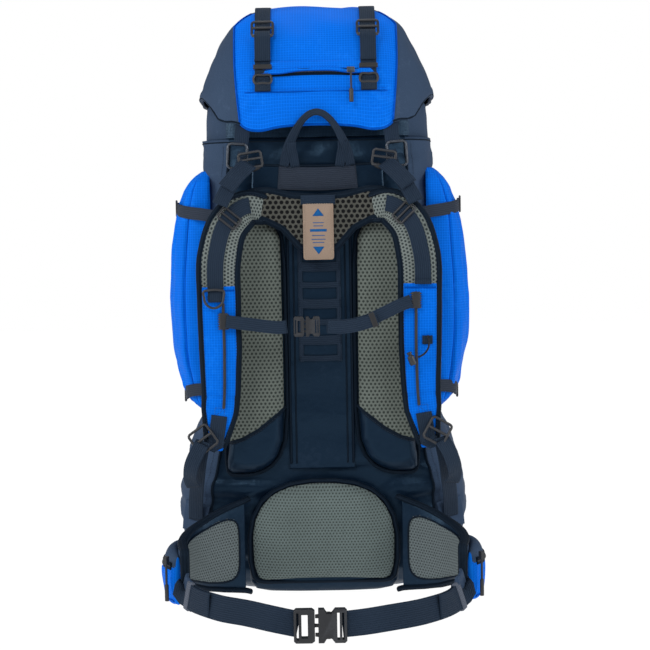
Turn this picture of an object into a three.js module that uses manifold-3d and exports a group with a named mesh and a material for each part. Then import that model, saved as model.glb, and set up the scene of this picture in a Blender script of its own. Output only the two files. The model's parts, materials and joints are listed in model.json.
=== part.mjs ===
// Internal-frame trekking backpack standing on its base, harness side towards -Y.
// Millimetres, +Z up, +X to the right of someone who looks at the harness.
// Origin: centre of the flat base, on the floor.
import * as THREE from 'three';
import * as BufferGeometryUtils from 'three/addons/utils/BufferGeometryUtils.js';
import Module from 'manifold-3d';

const wasm = await Module();
wasm.setup();

// ---------- driving dimensions ----------
const gap = 0.5;                  // air between neighbours that touch on the real pack
const webbing = 25;               // width of the strap webbing
const beltWebbing = 38;           // width of the hip belt webbing
const webbingThickness = 1.8;

const bag = {
  backY: -135,
  squareness: 4.5,
  wall: 0.978,
  halfWidth: [[0, 150], [12, 182], [40, 208], [90, 231], [150, 238], [205, 224], [236, 206], [256, 190.5], [320, 190],
    [735, 188]],
  halfDepth: [[0, 86], [12, 108], [40, 126], [90, 135], [620, 135], [735, 128]],
};
const collar = {
  bottom: 735.5,
  mouth: 842,
  wall: 0.975,
  halfWidth: [[735, 184], [790, 182], [812, 166], [830, 128], [842, 84]],
  halfDepth: [[735, 124], [790, 122], [812, 110], [830, 84], [842, 58]],
};
const lid = {
  halfWidth: 191,
  halfDepth: 166,
  squareness: 4,
  hemTop: 815,
  wall: 0.98,
  hinge: [-150, 745],
  outer: [[0, 956], [0.43, 953], [0.6, 942], [0.73, 922], [0.81, 898], [0.88, 870], [0.945, 840], [0.985, 815],
    [1, 785], [1, 748]],
  inner: [[0.98, 748], [0.98, 785], [0.96, 815], [0.88, 838], [0.75, 856], [0.5, 861], [0, 861]],
};
const sidePocket = {
  bottom: 258,
  top: 685,
  inner: 192,
  arcRadius: 491,                 // outer profile seen from the harness side
  arcCentre: [-242, 470],         // for the right pocket; mirrored for the left
  centreY: -10,
  halfDepth: 105,
  zipStart: 18,                   // degrees above the arc's centre line
};
const harnessY = -162;            // rear face of the yoke panel's front layer

const colour = {
  navy: 0x1c2a40, slate: 0x333c4c, blue: 0x0069e6, mesh: 0x6e786e, hardware: 0x23262c,
  metal: 0xb4b6ba, sheet: 0x202226, tag: 0xaa8c78, darkMesh: 0x4a4a42,
};

// ---------- helpers ----------
const group = new THREE.Group();

/** Merges shared corners, drops empty triangles and turns the faces outwards. */
function closed(geometry) {
  let merged = geometry.clone();
  merged.deleteAttribute('normal');
  merged.deleteAttribute('uv');
  merged = BufferGeometryUtils.mergeVertices(merged, 1e-3);
  const index = merged.index.array;
  const position = merged.attributes.position;
  const kept = [];
  const [a, b, c] = [new THREE.Vector3(), new THREE.Vector3(), new THREE.Vector3()];
  let volume = 0;
  for (let i = 0; i < index.length; i += 3) {
    const [p, q, r] = [index[i], index[i + 1], index[i + 2]];
    if (p !== q && q !== r && r !== p) {
      kept.push([p, q, r]);
      volume += a.fromBufferAttribute(position, p).dot(
        b.fromBufferAttribute(position, q).cross(c.fromBufferAttribute(position, r)));
    }
  }
  merged.setIndex(kept.flatMap(([p, q, r]) => (volume > 0 ? [p, q, r] : [p, r, q])));
  merged.computeVertexNormals();
  return merged;
}

/** Adds one named piece to the pack. */
function piece(name, geometry, color, roughness = 0.9, metalness = 0) {
  const mesh = new THREE.Mesh(closed(geometry), new THREE.MeshStandardMaterial({ color, roughness, metalness }));
  mesh.name = name;
  group.add(mesh);
  return mesh;
}

/** Moves every corner of a geometry by a function of its place. */
function warp(geometry, move) {
  const position = geometry.attributes.position;
  for (let i = 0; i < position.count; i += 1) {
    position.setXYZ(i, ...move(position.getX(i), position.getY(i), position.getZ(i)));
  }
  return geometry;
}

function toSolid(geometry) {
  const shell = closed(geometry);
  return new wasm.Manifold(new wasm.Mesh({
    numProp: 3,
    vertProperties: new Float32Array(shell.attributes.position.array),
    triVerts: new Uint32Array(shell.index.array),
  }));
}

function toGeometry(solid) {
  const mesh = solid.getMesh();
  const geometry = new THREE.BufferGeometry();
  geometry.setAttribute('position', new THREE.BufferAttribute(new Float32Array(mesh.vertProperties), 3));
  geometry.setIndex([...mesh.triVerts]);
  return geometry;
}

function joined(first, ...others) {
  return toGeometry(others.reduce((sum, other) => sum.add(toSolid(other)), toSolid(first)));
}

function cut(first, ...tools) {
  return toGeometry(tools.reduce((rest, tool) => rest.subtract(toSolid(tool)), toSolid(first)));
}

/** Straight-line lookup in a list of [position, value] pairs. */
function lookup(table, at) {
  const last = table.length - 1;
  if (at <= table[0][0]) return table[0][1];
  if (at >= table[last][0]) return table[last][1];
  const i = table.findIndex(([position]) => position >= at);
  const [[p0, v0], [p1, v1]] = [table[i - 1], table[i]];
  return v0 + ((v1 - v0) * (at - p0)) / (p1 - p0);
}

const bent = (value, power) => Math.sign(value) * Math.abs(value) ** power;

/** A vessel: a profile of [share of the half size, height] turned into a rounded-square section. */
function vessel(profile, halfWidth, halfDepth, squareness, segments, lift = (height) => height) {
  const points = profile.map(([share, height]) => new THREE.Vector2(share, height));
  return warp(new THREE.LatheGeometry(points, segments), (x, height, y) => {
    const share = Math.hypot(x, y);
    if (share < 1e-6) return [0, 0, height];
    const power = 2 / squareness;
    return [
      share * halfWidth(height) * bent(x / share, power),
      share * halfDepth(height) * bent(y / share, power),
      lift(height, y / share),
    ];
  });
}

function anticlockwise(outline) {
  const points = outline.map(([x, z]) => new THREE.Vector2(x, z));
  return THREE.ShapeUtils.isClockWise(points) ? points.reverse() : points;
}

/** A flat outline in the XZ plane with a thickness along Y, from nearY towards -Y. */
function slab(outline, nearY, thickness, bevel = 0, holes = []) {
  const shape = new THREE.Shape(anticlockwise(outline));
  shape.holes = holes.map((hole) => new THREE.Path(anticlockwise(hole)));
  const geometry = new THREE.ExtrudeGeometry(shape, {
    depth: thickness - 2 * bevel, steps: 1, bevelEnabled: bevel > 0, bevelThickness: bevel,
    bevelSize: bevel * 0.8, bevelOffset: -bevel * 0.8, bevelSegments: 2, curveSegments: 4,
  });
  geometry.rotateX(Math.PI / 2);
  geometry.translate(0, nearY - bevel, 0);
  return geometry;
}

/** Rounded rectangle as a list of corners, each corner an arc of `turns` steps. */
function roundedBox(width, height, radius, turns = 3, centre = [0, 0]) {
  const corners = [];
  for (let corner = 0; corner < 4; corner += 1) {
    const cx = centre[0] + (corner === 0 || corner === 3 ? 1 : -1) * (width / 2 - radius);
    const cz = centre[1] + (corner < 2 ? 1 : -1) * (height / 2 - radius);
    for (let i = 0; i <= turns; i += 1) {
      const angle = (corner + i / turns) * Math.PI / 2;
      corners.push([cx + radius * Math.cos(angle), cz + radius * Math.sin(angle)]);
    }
  }
  return corners;
}

/** Frame of a strip at one point of its route: sideways and outward directions. */
function stripFrame(curve, t, facing) {
  const along = curve.getTangent(t);
  const sideways = new THREE.Vector3().crossVectors(along, facing).normalize();
  const outward = new THREE.Vector3().crossVectors(sideways, along).normalize();
  return { sideways, outward };
}

/** A strap or a padded strip along a route; widths and thicknesses are values or [t, value] tables. */
function strip({ route, width, thickness, facing, steps = 10, sides = 4 }) {
  const curve = new THREE.CatmullRomCurve3(route.map((p) => new THREE.Vector3(...p)), false, 'centripetal');
  const look = new THREE.Vector3(...facing);
  const widthAt = (t) => (Array.isArray(width) ? lookup(width, t) : width);
  const thicknessAt = (t) => (Array.isArray(thickness) ? lookup(thickness, t) : thickness);
  const section = sides === 4
    ? new THREE.BoxGeometry(1, 1, 1, 1, steps, 1)
    : new THREE.CylinderGeometry(0.5, 0.5, 1, sides, steps);
  return warp(section, (u, v, w) => {
    const t = Math.min(Math.max(v + 0.5, 0), 1);
    const { sideways, outward } = stripFrame(curve, t, look);
    const centre = curve.getPoint(t);
    return centre.addScaledVector(sideways, u * widthAt(t)).addScaledVector(outward, w * thicknessAt(t)).toArray();
  });
}

function block(x, y, z, w, d, h) {
  return new THREE.BoxGeometry(w, d, h).translate(x, y, z);
}

const mirrored = (points, side) => points.map(([x, ...rest]) => [x * side, ...rest]);
const eachSide = (make) => [['left', -1], ['right', 1]].forEach(([name, side]) => make(name, side));

// ---------- main bag, collar and inner frame ----------
const bagWidth = (z) => lookup(bag.halfWidth, z);
const bagDepth = (z) => lookup(bag.halfDepth, z);

function mainBag() {
  const heights = [12, 40, 90, 150, 205, 236, 256, 320, 470, 620, 735];
  const outside = [[0, 0], [1, 0], ...heights.map((z) => [1, z])];
  const inside = [...heights.slice(1)].reverse().map((z) => [bag.wall, z]);
  return vessel([...outside, ...inside, [0.9, 16], [0, 9]], bagWidth, bagDepth, bag.squareness, 28);
}

function snowCollar() {
  const heights = [collar.bottom, 765, 790, 812, 830, collar.mouth];
  const outside = heights.map((z) => [1, z]);
  const inside = [...heights].reverse().map((z) => [collar.wall, z]);
  const width = (z) => lookup(collar.halfWidth, z);
  const depth = (z) => lookup(collar.halfDepth, z);
  return vessel([...outside, ...inside, outside[0]], width, depth, 3, 28);
}

piece('main_bag', mainBag(), colour.slate);
piece('snow_collar', snowCollar(), colour.navy);

/** Stiff plastic sheet and two aluminium stays behind the back panel, inside the bag. */
function innerFrame() {
  const sheet = { halfWidth: 112, bottom: 130, top: 690, y: -121, thickness: 1.6 };
  const height = sheet.top - sheet.bottom;
  const outline = roundedBox(2 * sheet.halfWidth, height, 30, 3, [0, sheet.bottom + height / 2]);
  piece('frame_sheet', slab(outline, sheet.y, sheet.thickness), colour.sheet, 0.5);
  eachSide((name, side) => {
    const stay = new THREE.BoxGeometry(25, 3, 520).translate(side * 62, -119, 410);
    piece(`stay_${name}`, stay, colour.metal, 0.35, 1);
  });
}
innerFrame();

// ---------- collar drawcord lock ----------
/** Barrel cord lock standing along +Z: a body with a blind bore, and the button that slides in it. */
function cordLock(radius, height, travel) {
  const bore = radius * 0.62;
  const body = new THREE.LatheGeometry([
    [0, 0], [radius * 0.8, 0], [radius, 2], [radius, height - 2], [radius * 0.85, height], [bore, height],
    [bore, height * 0.35], [0, height * 0.35],
  ].map(([r, h]) => new THREE.Vector2(r, h)), 14);
  const stem = bore - 0.4;
  const button = new THREE.LatheGeometry([
    [0, height * 0.35 + travel + gap], [stem, height * 0.35 + travel + gap], [stem, height + travel + gap],
    [bore * 1.2, height + travel + gap], [bore * 1.2, height + travel + 3], [0, height + travel + 4],
  ].map(([r, h]) => new THREE.Vector2(r, h)), 14);
  return [body.rotateX(Math.PI / 2), button.rotateX(Math.PI / 2)];
}

const collarLock = { at: [0, 96, 829], radius: 7, height: 13, travel: 3 };
const [collarLockBody, collarLockButton] = cordLock(collarLock.radius, collarLock.height, collarLock.travel);
piece('collar_cord_lock', collarLockBody.translate(...collarLock.at), colour.hardware, 0.5);
piece('collar_lock_button', collarLockButton.translate(...collarLock.at), colour.hardware, 0.5);

// ---------- back panel ----------
const spine = { halfWidth: 53, bottom: 205, top: 640, thickness: 5 };
const spineFront = bag.backY - gap - spine.thickness;
const spineHeight = spine.top - spine.bottom;
const spineOutline = roundedBox(2 * spine.halfWidth, spineHeight, 8, 2, [0, spine.bottom + spineHeight / 2]);
piece('spine_panel', slab(spineOutline, bag.backY - gap, spine.thickness), colour.navy);

/** Webbing ladder that the yoke's height is set on: two rails and a row of rungs. */
function heightLadder() {
  const ladder = { halfWidth: 34, bottom: 385, top: 560, rungs: 6, rail: 7, rung: 6, thickness: 3 };
  const pitch = (ladder.top - ladder.bottom) / ladder.rungs;
  const holes = [];
  for (let i = 0; i < ladder.rungs; i += 1) {
    const low = ladder.bottom + i * pitch + ladder.rung / 2;
    const high = low + pitch - ladder.rung;
    const inner = ladder.halfWidth - ladder.rail;
    holes.push([[-inner, low], [inner, low], [inner, high], [-inner, high]]);
  }
  const { halfWidth, bottom, top, rung } = ladder;
  const outline = [[-halfWidth, bottom - rung], [halfWidth, bottom - rung], [halfWidth, top + rung],
    [-halfWidth, top + rung]];
  return slab(outline, spineFront - gap, ladder.thickness, 0, holes);
}
piece('height_ladder', heightLadder(), colour.navy);

const backPadOutline = [
  [55, 300], [60, 258], [72, 226], [96, 204], [124, 202], [142, 226], [150, 270], [150, 430], [138, 530], [118, 588],
  [86, 606], [62, 592], [56, 540],
];
eachSide((name, side) => {
  piece(`back_pad_${name}`, slab(mirrored(backPadOutline, side), bag.backY - gap - 1, 21, 8), colour.mesh);
});

const lumbarOutline = [
  [-121, 24], [-112, 12], [-40, 8], [40, 8], [112, 12], [121, 24], [122, 90], [112, 140], [84, 174], [40, 190],
  [-40, 190], [-84, 174], [-112, 140], [-122, 90],
];
piece('lumbar_pad', slab(lumbarOutline, bag.backY - gap, 42, 12), colour.mesh);

const topBandOutline = [[-70, 704], [70, 704], [66, 668], [0, 664], [-66, 668]];
piece('top_band', slab(topBandOutline, bag.backY - gap, 15, 4), colour.navy);

function haulLoop() {
  const half = [[44, -143, 707.5], [46, -158, 724], [41, -173.5, 743], [25, -177, 763]];
  const route = [...mirrored(half, -1), [0, -178, 773], ...[...half].reverse()];
  return strip({ route, width: 15, thickness: 3, facing: [0, -1, 0.15], steps: 20 });
}
piece('haul_loop', haulLoop(), colour.navy);

// ---------- outer pockets ----------
/** Outer profile of a side pocket: an arc, so that its zip slider can run round the arc's centre. */
function pocketEdge(z) {
  const [cx, cz] = sidePocket.arcCentre;
  return cx + Math.sqrt(sidePocket.arcRadius ** 2 - (z - cz) ** 2);
}

function sidePocketSolid(side) {
  const height = sidePocket.top - sidePocket.bottom;
  return warp(new THREE.CylinderGeometry(1, 1, 1, 20, 12), (x, v, y) => {
    const z = sidePocket.bottom + (v + 0.5) * height;
    const reach = Math.hypot(x, y);
    const bulge = reach < 1e-6 ? 0 : Math.max(0, bent(x / reach, 0.7));
    const across = reach < 1e-6 ? 0 : bent(y / reach, 0.7);
    const end = Math.min(1, 0.78 + 1.3 * Math.sin((v + 0.5) * Math.PI));
    const outer = sidePocket.inner + (pocketEdge(z) - sidePocket.inner) * bulge * Math.min(1, reach);
    return [side * (reach < 1e-6 ? sidePocket.inner : outer), sidePocket.centreY + across * sidePocket.halfDepth * end, z];
  });
}

function zipSlider() {
  return joined(block(0, 0, 0, 5, 9, 13), block(3.5, 0, 0, 4, 3, 9));
}

eachSide((name, side) => {
  piece(`side_pocket_${name}`, sidePocketSolid(side), colour.blue);
  const angle = THREE.MathUtils.degToRad(sidePocket.zipStart);
  const slider = zipSlider();
  slider.rotateY(-angle);
  const reach = sidePocket.arcRadius + 3.3;
  const x = sidePocket.arcCentre[0] + reach * Math.cos(angle);
  slider.translate(x, sidePocket.centreY, sidePocket.arcCentre[1] + reach * Math.sin(angle));
  if (side < 0) slider.scale(-1, 1, 1);
  piece(`side_zip_slider_${name}`, slider, colour.hardware, 0.4);
});

const frontPocketOutline = roundedBox(270, 500, 50, 3, [0, 375]);
piece('front_pocket', slab(frontPocketOutline, bag.backY * -1 + gap + 48, 48, 14), colour.blue);

// ---------- lid ----------
function lidLift(height, towardsFront) {
  if (height >= lid.hemTop) return height;
  const sideHem = 0.3;
  const frontHem = 0.8;
  const rearward = Math.abs(towardsFront) ** 3;
  const reach = sideHem + ((towardsFront < 0 ? 1 : frontHem) - sideHem) * Math.min(1, rearward * 2.2);
  return lid.hemTop - (lid.hemTop - height) * reach;
}

function lidSolid() {
  const width = () => lid.halfWidth;
  const depth = () => lid.halfDepth;
  return vessel([...lid.outer, ...lid.inner], width, depth, lid.squareness, 32, lidLift);
}
piece('lid', lidSolid(), colour.blue);

/** Y of the lid's rear face at a place across it and a height. */
function lidRearY(x, z) {
  const share = lookup([...lid.outer].reverse().map(([k, height]) => [height, k]), z);
  return -lid.halfDepth * share * (1 - (Math.abs(x) / (lid.halfWidth * share)) ** lid.squareness) ** 0.25;
}

const lidStrapX = 83;
eachSide((name, side) => {
  const heights = [806, 835, 862, 885, 905, 922, 935, 944];
  const climb = heights.map((z) => {
    const crest = z < 930 ? 0 : 3;
    return [side * lidStrapX, lidRearY(lidStrapX, z) - (z < 900 ? 3.2 : 6.6), z + crest];
  });
  const route = [...climb, [side * lidStrapX, -72, 958], [side * lidStrapX, 0, 960.5], [side * lidStrapX, 62, 958]];
  const strap = strip({ route, width: webbing, thickness: webbingThickness, facing: [0, -1, 1], steps: 22 });
  piece(`lid_strap_${name}`, strap, colour.navy);
});

/** Ladder-lock buckle in the XY plane: an outer frame, three bars and a thumb tongue at its top. */
function ladderLock(inside, height, thickness) {
  const width = inside + 8;
  const frame = new THREE.Shape(roundedBox(width, height, 4, 2).map(([x, y]) => new THREE.Vector2(x, y)));
  const slot = height * 0.2;
  [-0.24, 0.16].forEach((place) => {
    const hole = roundedBox(inside + 1, slot, 1, 1, [0, place * height]);
    frame.holes.push(new THREE.Path(hole.map(([x, y]) => new THREE.Vector2(x, y))));
  });
  const body = new THREE.ExtrudeGeometry(frame, { depth: thickness, bevelEnabled: false, curveSegments: 3 });
  body.translate(0, 0, -thickness / 2);
  const tongue = block(0, height * 0.44, thickness * 0.45, inside * 0.7, height * 0.3, thickness * 0.5);
  return joined(body, tongue);
}

/** Stands a buckle made in the XY plane up against a face that looks along -Y, leaning by `lean`. */
function stood(geometry, at, lean = 0, roll = 0) {
  return geometry.rotateZ(roll).rotateX(Math.PI / 2 + lean).translate(...at);
}

eachSide((name, side) => {
  const z = 906;
  const slope = Math.atan2(lidRearY(lidStrapX, z + 12) - lidRearY(lidStrapX, z - 12), 24);
  const at = [side * lidStrapX, lidRearY(lidStrapX, z) - 13.5, z];
  piece(`lid_ladder_lock_${name}`, stood(ladderLock(webbing, 27, 5), at, -slope), colour.hardware, 0.45);
});

const lidZip = { x: 55, z: 838 };
const lidZipY = lidRearY(lidZip.x, lidZip.z);
piece('lid_zip_slider', block(lidZip.x, lidZipY - 4.2, lidZip.z, 12, 4.5, 9), colour.hardware, 0.4, 0.3);

function zipPull(length) {
  const cord = block(0, 0, -length * 0.3, 3, 2.4, length * 0.6);
  const grip = strip({
    route: [[0, 0, -length * 0.58], [0, 0, -length]], width: 7, thickness: 5, facing: [0, -1, 0], steps: 2, sides: 8,
  });
  return joined(cord, grip);
}
const pullLean = 0.19;             // the pull lies along the flare of the lid's lower edge
const lidPull = zipPull(50).rotateX(-pullLean).translate(lidZip.x, lidZipY - 9.6, lidZip.z - 2);
piece('lid_zip_pull', lidPull, colour.hardware, 0.6);

// ---------- side-release buckles ----------
/**
 * Side-release buckle for webbing of one width, in the XZ plane with its thickness along Y.
 * The male half leaves along -X. Prongs are separate solids when `loose` is true.
 */
function sideReleaseBuckle(width, loose) {
  const halfHeight = width / 2 + 5.5;
  const unit = width / 38;
  const thickness = 13 * Math.max(unit, 0.75);
  const x = (value) => value * unit;
  const cavity = { half: thickness / 2 - 1.8, height: halfHeight - 4 };
  const slotHalf = width / 2 + 0.5;
  const plate = (outline) => slab(outline, thickness / 2, thickness, 1.2);
  const through = (x0, x1, half) => block((x0 + x1) / 2, 0, 0, x1 - x0, 2 * thickness, 2 * half);

  const waist = halfHeight * 0.74;
  const femaleOutline = [
    [x(-3), halfHeight], [x(-3), -halfHeight], [x(5), -halfHeight], [x(9), -waist], [x(16), -waist],
    [x(21), -halfHeight], [x(35), -halfHeight], [x(38), -halfHeight + 3], [x(38), halfHeight - 3],
    [x(35), halfHeight], [x(21), halfHeight], [x(16), waist], [x(9), waist], [x(5), halfHeight],
  ];
  const female = cut(
    plate(femaleOutline),
    block(x(5), 0, 0, x(26), 2 * cavity.half, 2 * cavity.height),
    through(x(24), x(27.5), slotHalf),
    through(x(31), x(34), slotHalf),
  );

  const maleOutline = [
    [x(-8), -halfHeight + 3], [x(-8), halfHeight - 3], [x(-12), halfHeight], [x(-35), halfHeight],
    [x(-38), halfHeight - 3], [x(-38), -halfHeight + 3], [x(-35), -halfHeight], [x(-12), -halfHeight],
  ];
  const rib = block(x(-1), 0, 0, x(16), 3.2, 5);
  const male = joined(cut(plate(maleOutline), through(x(-34), x(-31), slotHalf), through(x(-27), x(-18), slotHalf * 0.86)), rib);

  const prongRoot = loose ? x(-8) + gap : x(-9);
  const prongs = [-1, 1].map((sign) => {
    const high = cavity.height - 0.8;
    const outline = [
      [prongRoot, high - 9 * unit], [prongRoot, high - 4 * unit], [x(2), high - 2.5 * unit], [x(7), high],
      [x(14), high], [x(15), high - 5 * unit], [x(8), high - 9 * unit],
    ];
    return slab(outline.map(([px, pz]) => [px, sign * pz]), 1.7, 3.4);
  });
  return { female, male: loose ? male : joined(male, ...prongs), prongs };
}

/** Turns a buckle half about its middle and puts it in place. */
function seated(geometry, at, { pitch = 0, tilt = 0 } = {}) {
  return geometry.rotateY(pitch).rotateX(tilt).translate(...at);
}

// Two lid buckles at the front: the male halves ride on the lid and leave along its arc.
const lidBuckle = { x: 80, y: 186, z: 700 };
const arcLean = Math.atan2(lid.hinge[1] - lidBuckle.z, lidBuckle.y - lid.hinge[0]);
eachSide((name, side) => {
  const { female, male } = sideReleaseBuckle(webbing, false);
  const at = [side * lidBuckle.x, lidBuckle.y, lidBuckle.z];
  const pose = { pitch: Math.PI / 2, tilt: -arcLean };
  piece(`lid_buckle_female_${name}`, seated(female, at, pose), colour.hardware, 0.45);
  piece(`lid_buckle_male_${name}`, seated(male, at, pose), colour.hardware, 0.45);
});

// ---------- shoulder harness ----------
/** Yoke: a padded panel in front of the back pads, and the block that grips the height ladder. */
function yoke() {
  const half = [[0, 638], [40, 642], [78, 652], [112, 646], [122, 626], [112, 610], [84, 606], [56, 592], [36, 566],
    [24, 556]];
  const outline = [...half, ...mirrored([...half].reverse(), -1).slice(0, -1)];
  const panel = slab(outline, harnessY, 8, 2);
  const grip = block(0, (spineFront - 5 + harnessY - 2) / 2, 600, 50, Math.abs(harnessY - spineFront) - 3, 50);
  return joined(panel, grip);
}
piece('yoke', yoke(), colour.darkMesh);
piece('hang_tag', slab(roundedBox(48, 92, 4, 2, [0, 588]), harnessY - 9.5, 1.2), colour.tag);

const padRoute = [
  [84, -180, 618], [114, -190, 622], [140, -204, 598], [153, -214, 552], [155, -216, 480], [155, -208, 395],
  [158, -196, 315], [169, -181, 246],
];
eachSide((name, side) => {
  const pad = strip({
    route: mirrored(padRoute, side), facing: [0, -1, 0], steps: 22, sides: 12,
    width: [[0, 40], [0.12, 56], [0.3, 62], [0.62, 60], [0.85, 52], [1, 24]],
    thickness: [[0, 9], [0.15, 14], [0.85, 14], [1, 8]],
  });
  piece(`shoulder_pad_${name}`, pad, colour.mesh);
  const lockAt = [side * 187, -197, 264];
  const lock = stood(ladderLock(webbing, 34, 5), lockAt, 0.15, side * 0.45);
  piece(`ladder_lock_${name}`, lock, colour.hardware, 0.45);

  const lower = strip({
    route: mirrored([[192, -193, 236], [199, -168, 196], [205, -138, 152], [207, -121.5, 122]], side),
    width: webbing, thickness: webbingThickness, facing: [side * 0.3, -1, 0], steps: 8,
  });
  piece(`lower_strap_${name}`, lower, colour.navy);

  const lifter = strip({
    route: mirrored([[151, -214, 634], [138, -208, 655], [122, -192, 678]], side),
    width: webbing, thickness: webbingThickness, facing: [0, -1, 0.5], steps: 6,
  });
  piece(`load_lifter_${name}`, lifter, colour.navy);
  const buckleAt = [side * 104, -176, 699];
  piece(`lifter_buckle_${name}`, stood(ladderLock(webbing, 30, 5), buckleAt, -0.3, -side * 0.3), colour.hardware, 0.45);
});

// D-ring on the left shoulder strap, hanging from its loop.
const dRing = { x: -172, y: -229, top: 497 };
function dRingSolid() {
  const outer = [[-15, 0], [15, 0], [15, -8], [10.5, -17], [0, -21], [-10.5, -17], [-15, -8]];
  const inner = [[-11, -4], [11, -4], [11, -8], [7.5, -14], [0, -17], [-7.5, -14], [-11, -8]];
  return slab(outer, 2, 4, 0, [inner]).translate(dRing.x, dRing.y, dRing.top);
}
piece('d_ring', dRingSolid(), colour.hardware, 0.45);

// Elastic keeper on the right shoulder strap: cord, barrel lock and its button.
const keeperCorners = [[166, -223.5, 424], [167.5, -226.5, 415], [166, -227, 404], [159.5, -227, 395.5], [150.5, -227, 390.5]];
const keeperBend = new THREE.CatmullRomCurve3(keeperCorners.map((p) => new THREE.Vector3(...p)), false, 'centripetal');
const keeperCord = new THREE.CatmullRomCurve3(keeperBend.getPoints(15), false, 'centripetal');
const keeperSection = new THREE.Shape();
keeperSection.absarc(0, 0, 1.5, 0, 2 * Math.PI);
piece('keeper_cord', new THREE.ExtrudeGeometry(keeperSection, {
  extrudePath: keeperCord, steps: 15, curveSegments: 4, bevelEnabled: false,
}), colour.hardware);

const keeperLock = { radius: 5.5, height: 15, travel: 2.5 };
const [keeperLockBody, keeperLockButton] = cordLock(keeperLock.radius, keeperLock.height, keeperLock.travel);
[['keeper_lock', keeperLockBody], ['keeper_lock_button', keeperLockButton]].forEach(([name, geometry]) => {
  piece(name, geometry.rotateY(-0.35).translate(143.5, -227, 379), colour.hardware, 0.5);
});

// ---------- sternum strap ----------
const sternumWebbing = 20;
const sternumBuckle = [-20, -238, 442];
const sternumStrapEnd = 29.5;      // from the buckle's middle to where the webbing starts
const sternumParts = sideReleaseBuckle(sternumWebbing, false);
piece('sternum_buckle_female', seated(sternumParts.female, sternumBuckle), colour.hardware, 0.45);
piece('sternum_buckle_male', seated(sternumParts.male, sternumBuckle), colour.hardware, 0.45);
[
  ['left', [[-146, -229.5, 451], [-110, -234, 446], [-80, -238, 442], [sternumBuckle[0] - sternumStrapEnd, -238, 442]]],
  ['right', [[sternumBuckle[0] + sternumStrapEnd, -238, 442], [60, -238, 447], [105, -234, 464], [143, -229.5, 479]]],
].forEach(([name, route]) => {
  const strap = strip({ route, width: sternumWebbing, thickness: webbingThickness, facing: [0, -1, 0], steps: 10 });
  piece(`sternum_strap_${name}`, strap, colour.navy);
});

// ---------- hip belt ----------
const wingRoute = [
  [127, -154, 92], [158, -163, 92], [190, -186, 92], [211, -222, 92], [216, -262, 92], [209, -300, 92],
];
const wingPocketRoute = [[210, -178, 62], [230, -212, 62], [232, -250, 62], [222, -284, 62]];
eachSide((name, side) => {
  const pad = strip({
    route: mirrored(wingRoute, side), facing: [side, -0.6, 0], steps: 12, sides: 12,
    width: [[0, 146], [0.25, 138], [0.6, 104], [1, 58]],
    thickness: [[0, 10], [0.12, 17], [0.85, 17], [1, 8]],
  });
  const pocket = strip({
    route: mirrored(wingPocketRoute, side), facing: [side, -0.4, 0], steps: 8, sides: 12,
    width: [[0, 60], [0.25, 86], [0.8, 86], [1, 66]],
    thickness: [[0, 14], [0.3, 32], [0.75, 32], [1, 20]],
  });
  piece(`hip_wing_${name}`, joined(pad, pocket), colour.blue);
});

const beltBuckle = [-6, -430, 29];
const beltParts = sideReleaseBuckle(beltWebbing, true);
piece('belt_buckle_male', seated(beltParts.male, beltBuckle), colour.hardware, 0.45);
piece('belt_buckle_female', seated(beltParts.female, beltBuckle), colour.hardware, 0.45);
piece('belt_prong_lower', seated(beltParts.prongs[0], beltBuckle), colour.hardware, 0.45);
piece('belt_prong_upper', seated(beltParts.prongs[1], beltBuckle), colour.hardware, 0.45);

const beltEnd = 44.5;
[
  ['left', [[-206, -309, 66], [-192, -350, 57], [-150, -394, 44], [-96, -421, 34], [beltBuckle[0] - beltEnd, -430, 29]]],
  ['right', [[beltBuckle[0] + beltEnd, -430, 29], [84, -424, 33], [146, -396, 43], [192, -350, 57], [206, -309, 66]]],
].forEach(([name, route]) => {
  const strap = strip({
    route, width: beltWebbing, thickness: 2.4, facing: [0.001, -1, 0], steps: 14,
  });
  piece(`belt_strap_${name}`, strap, colour.navy);
});

// Wing pocket zip sliders with their pulls, at the front ends of the pockets.
eachSide((name, side) => {
  const pull = joined(block(0, 0, 0, 6, 9, 12), zipPull(60).translate(0, 0, -2));
  pull.rotateZ(side * 0.4).translate(side * 238, -297, 96);
  piece(`wing_zip_pull_${name}`, pull, colour.hardware, 0.5);
});

export default group;
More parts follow.
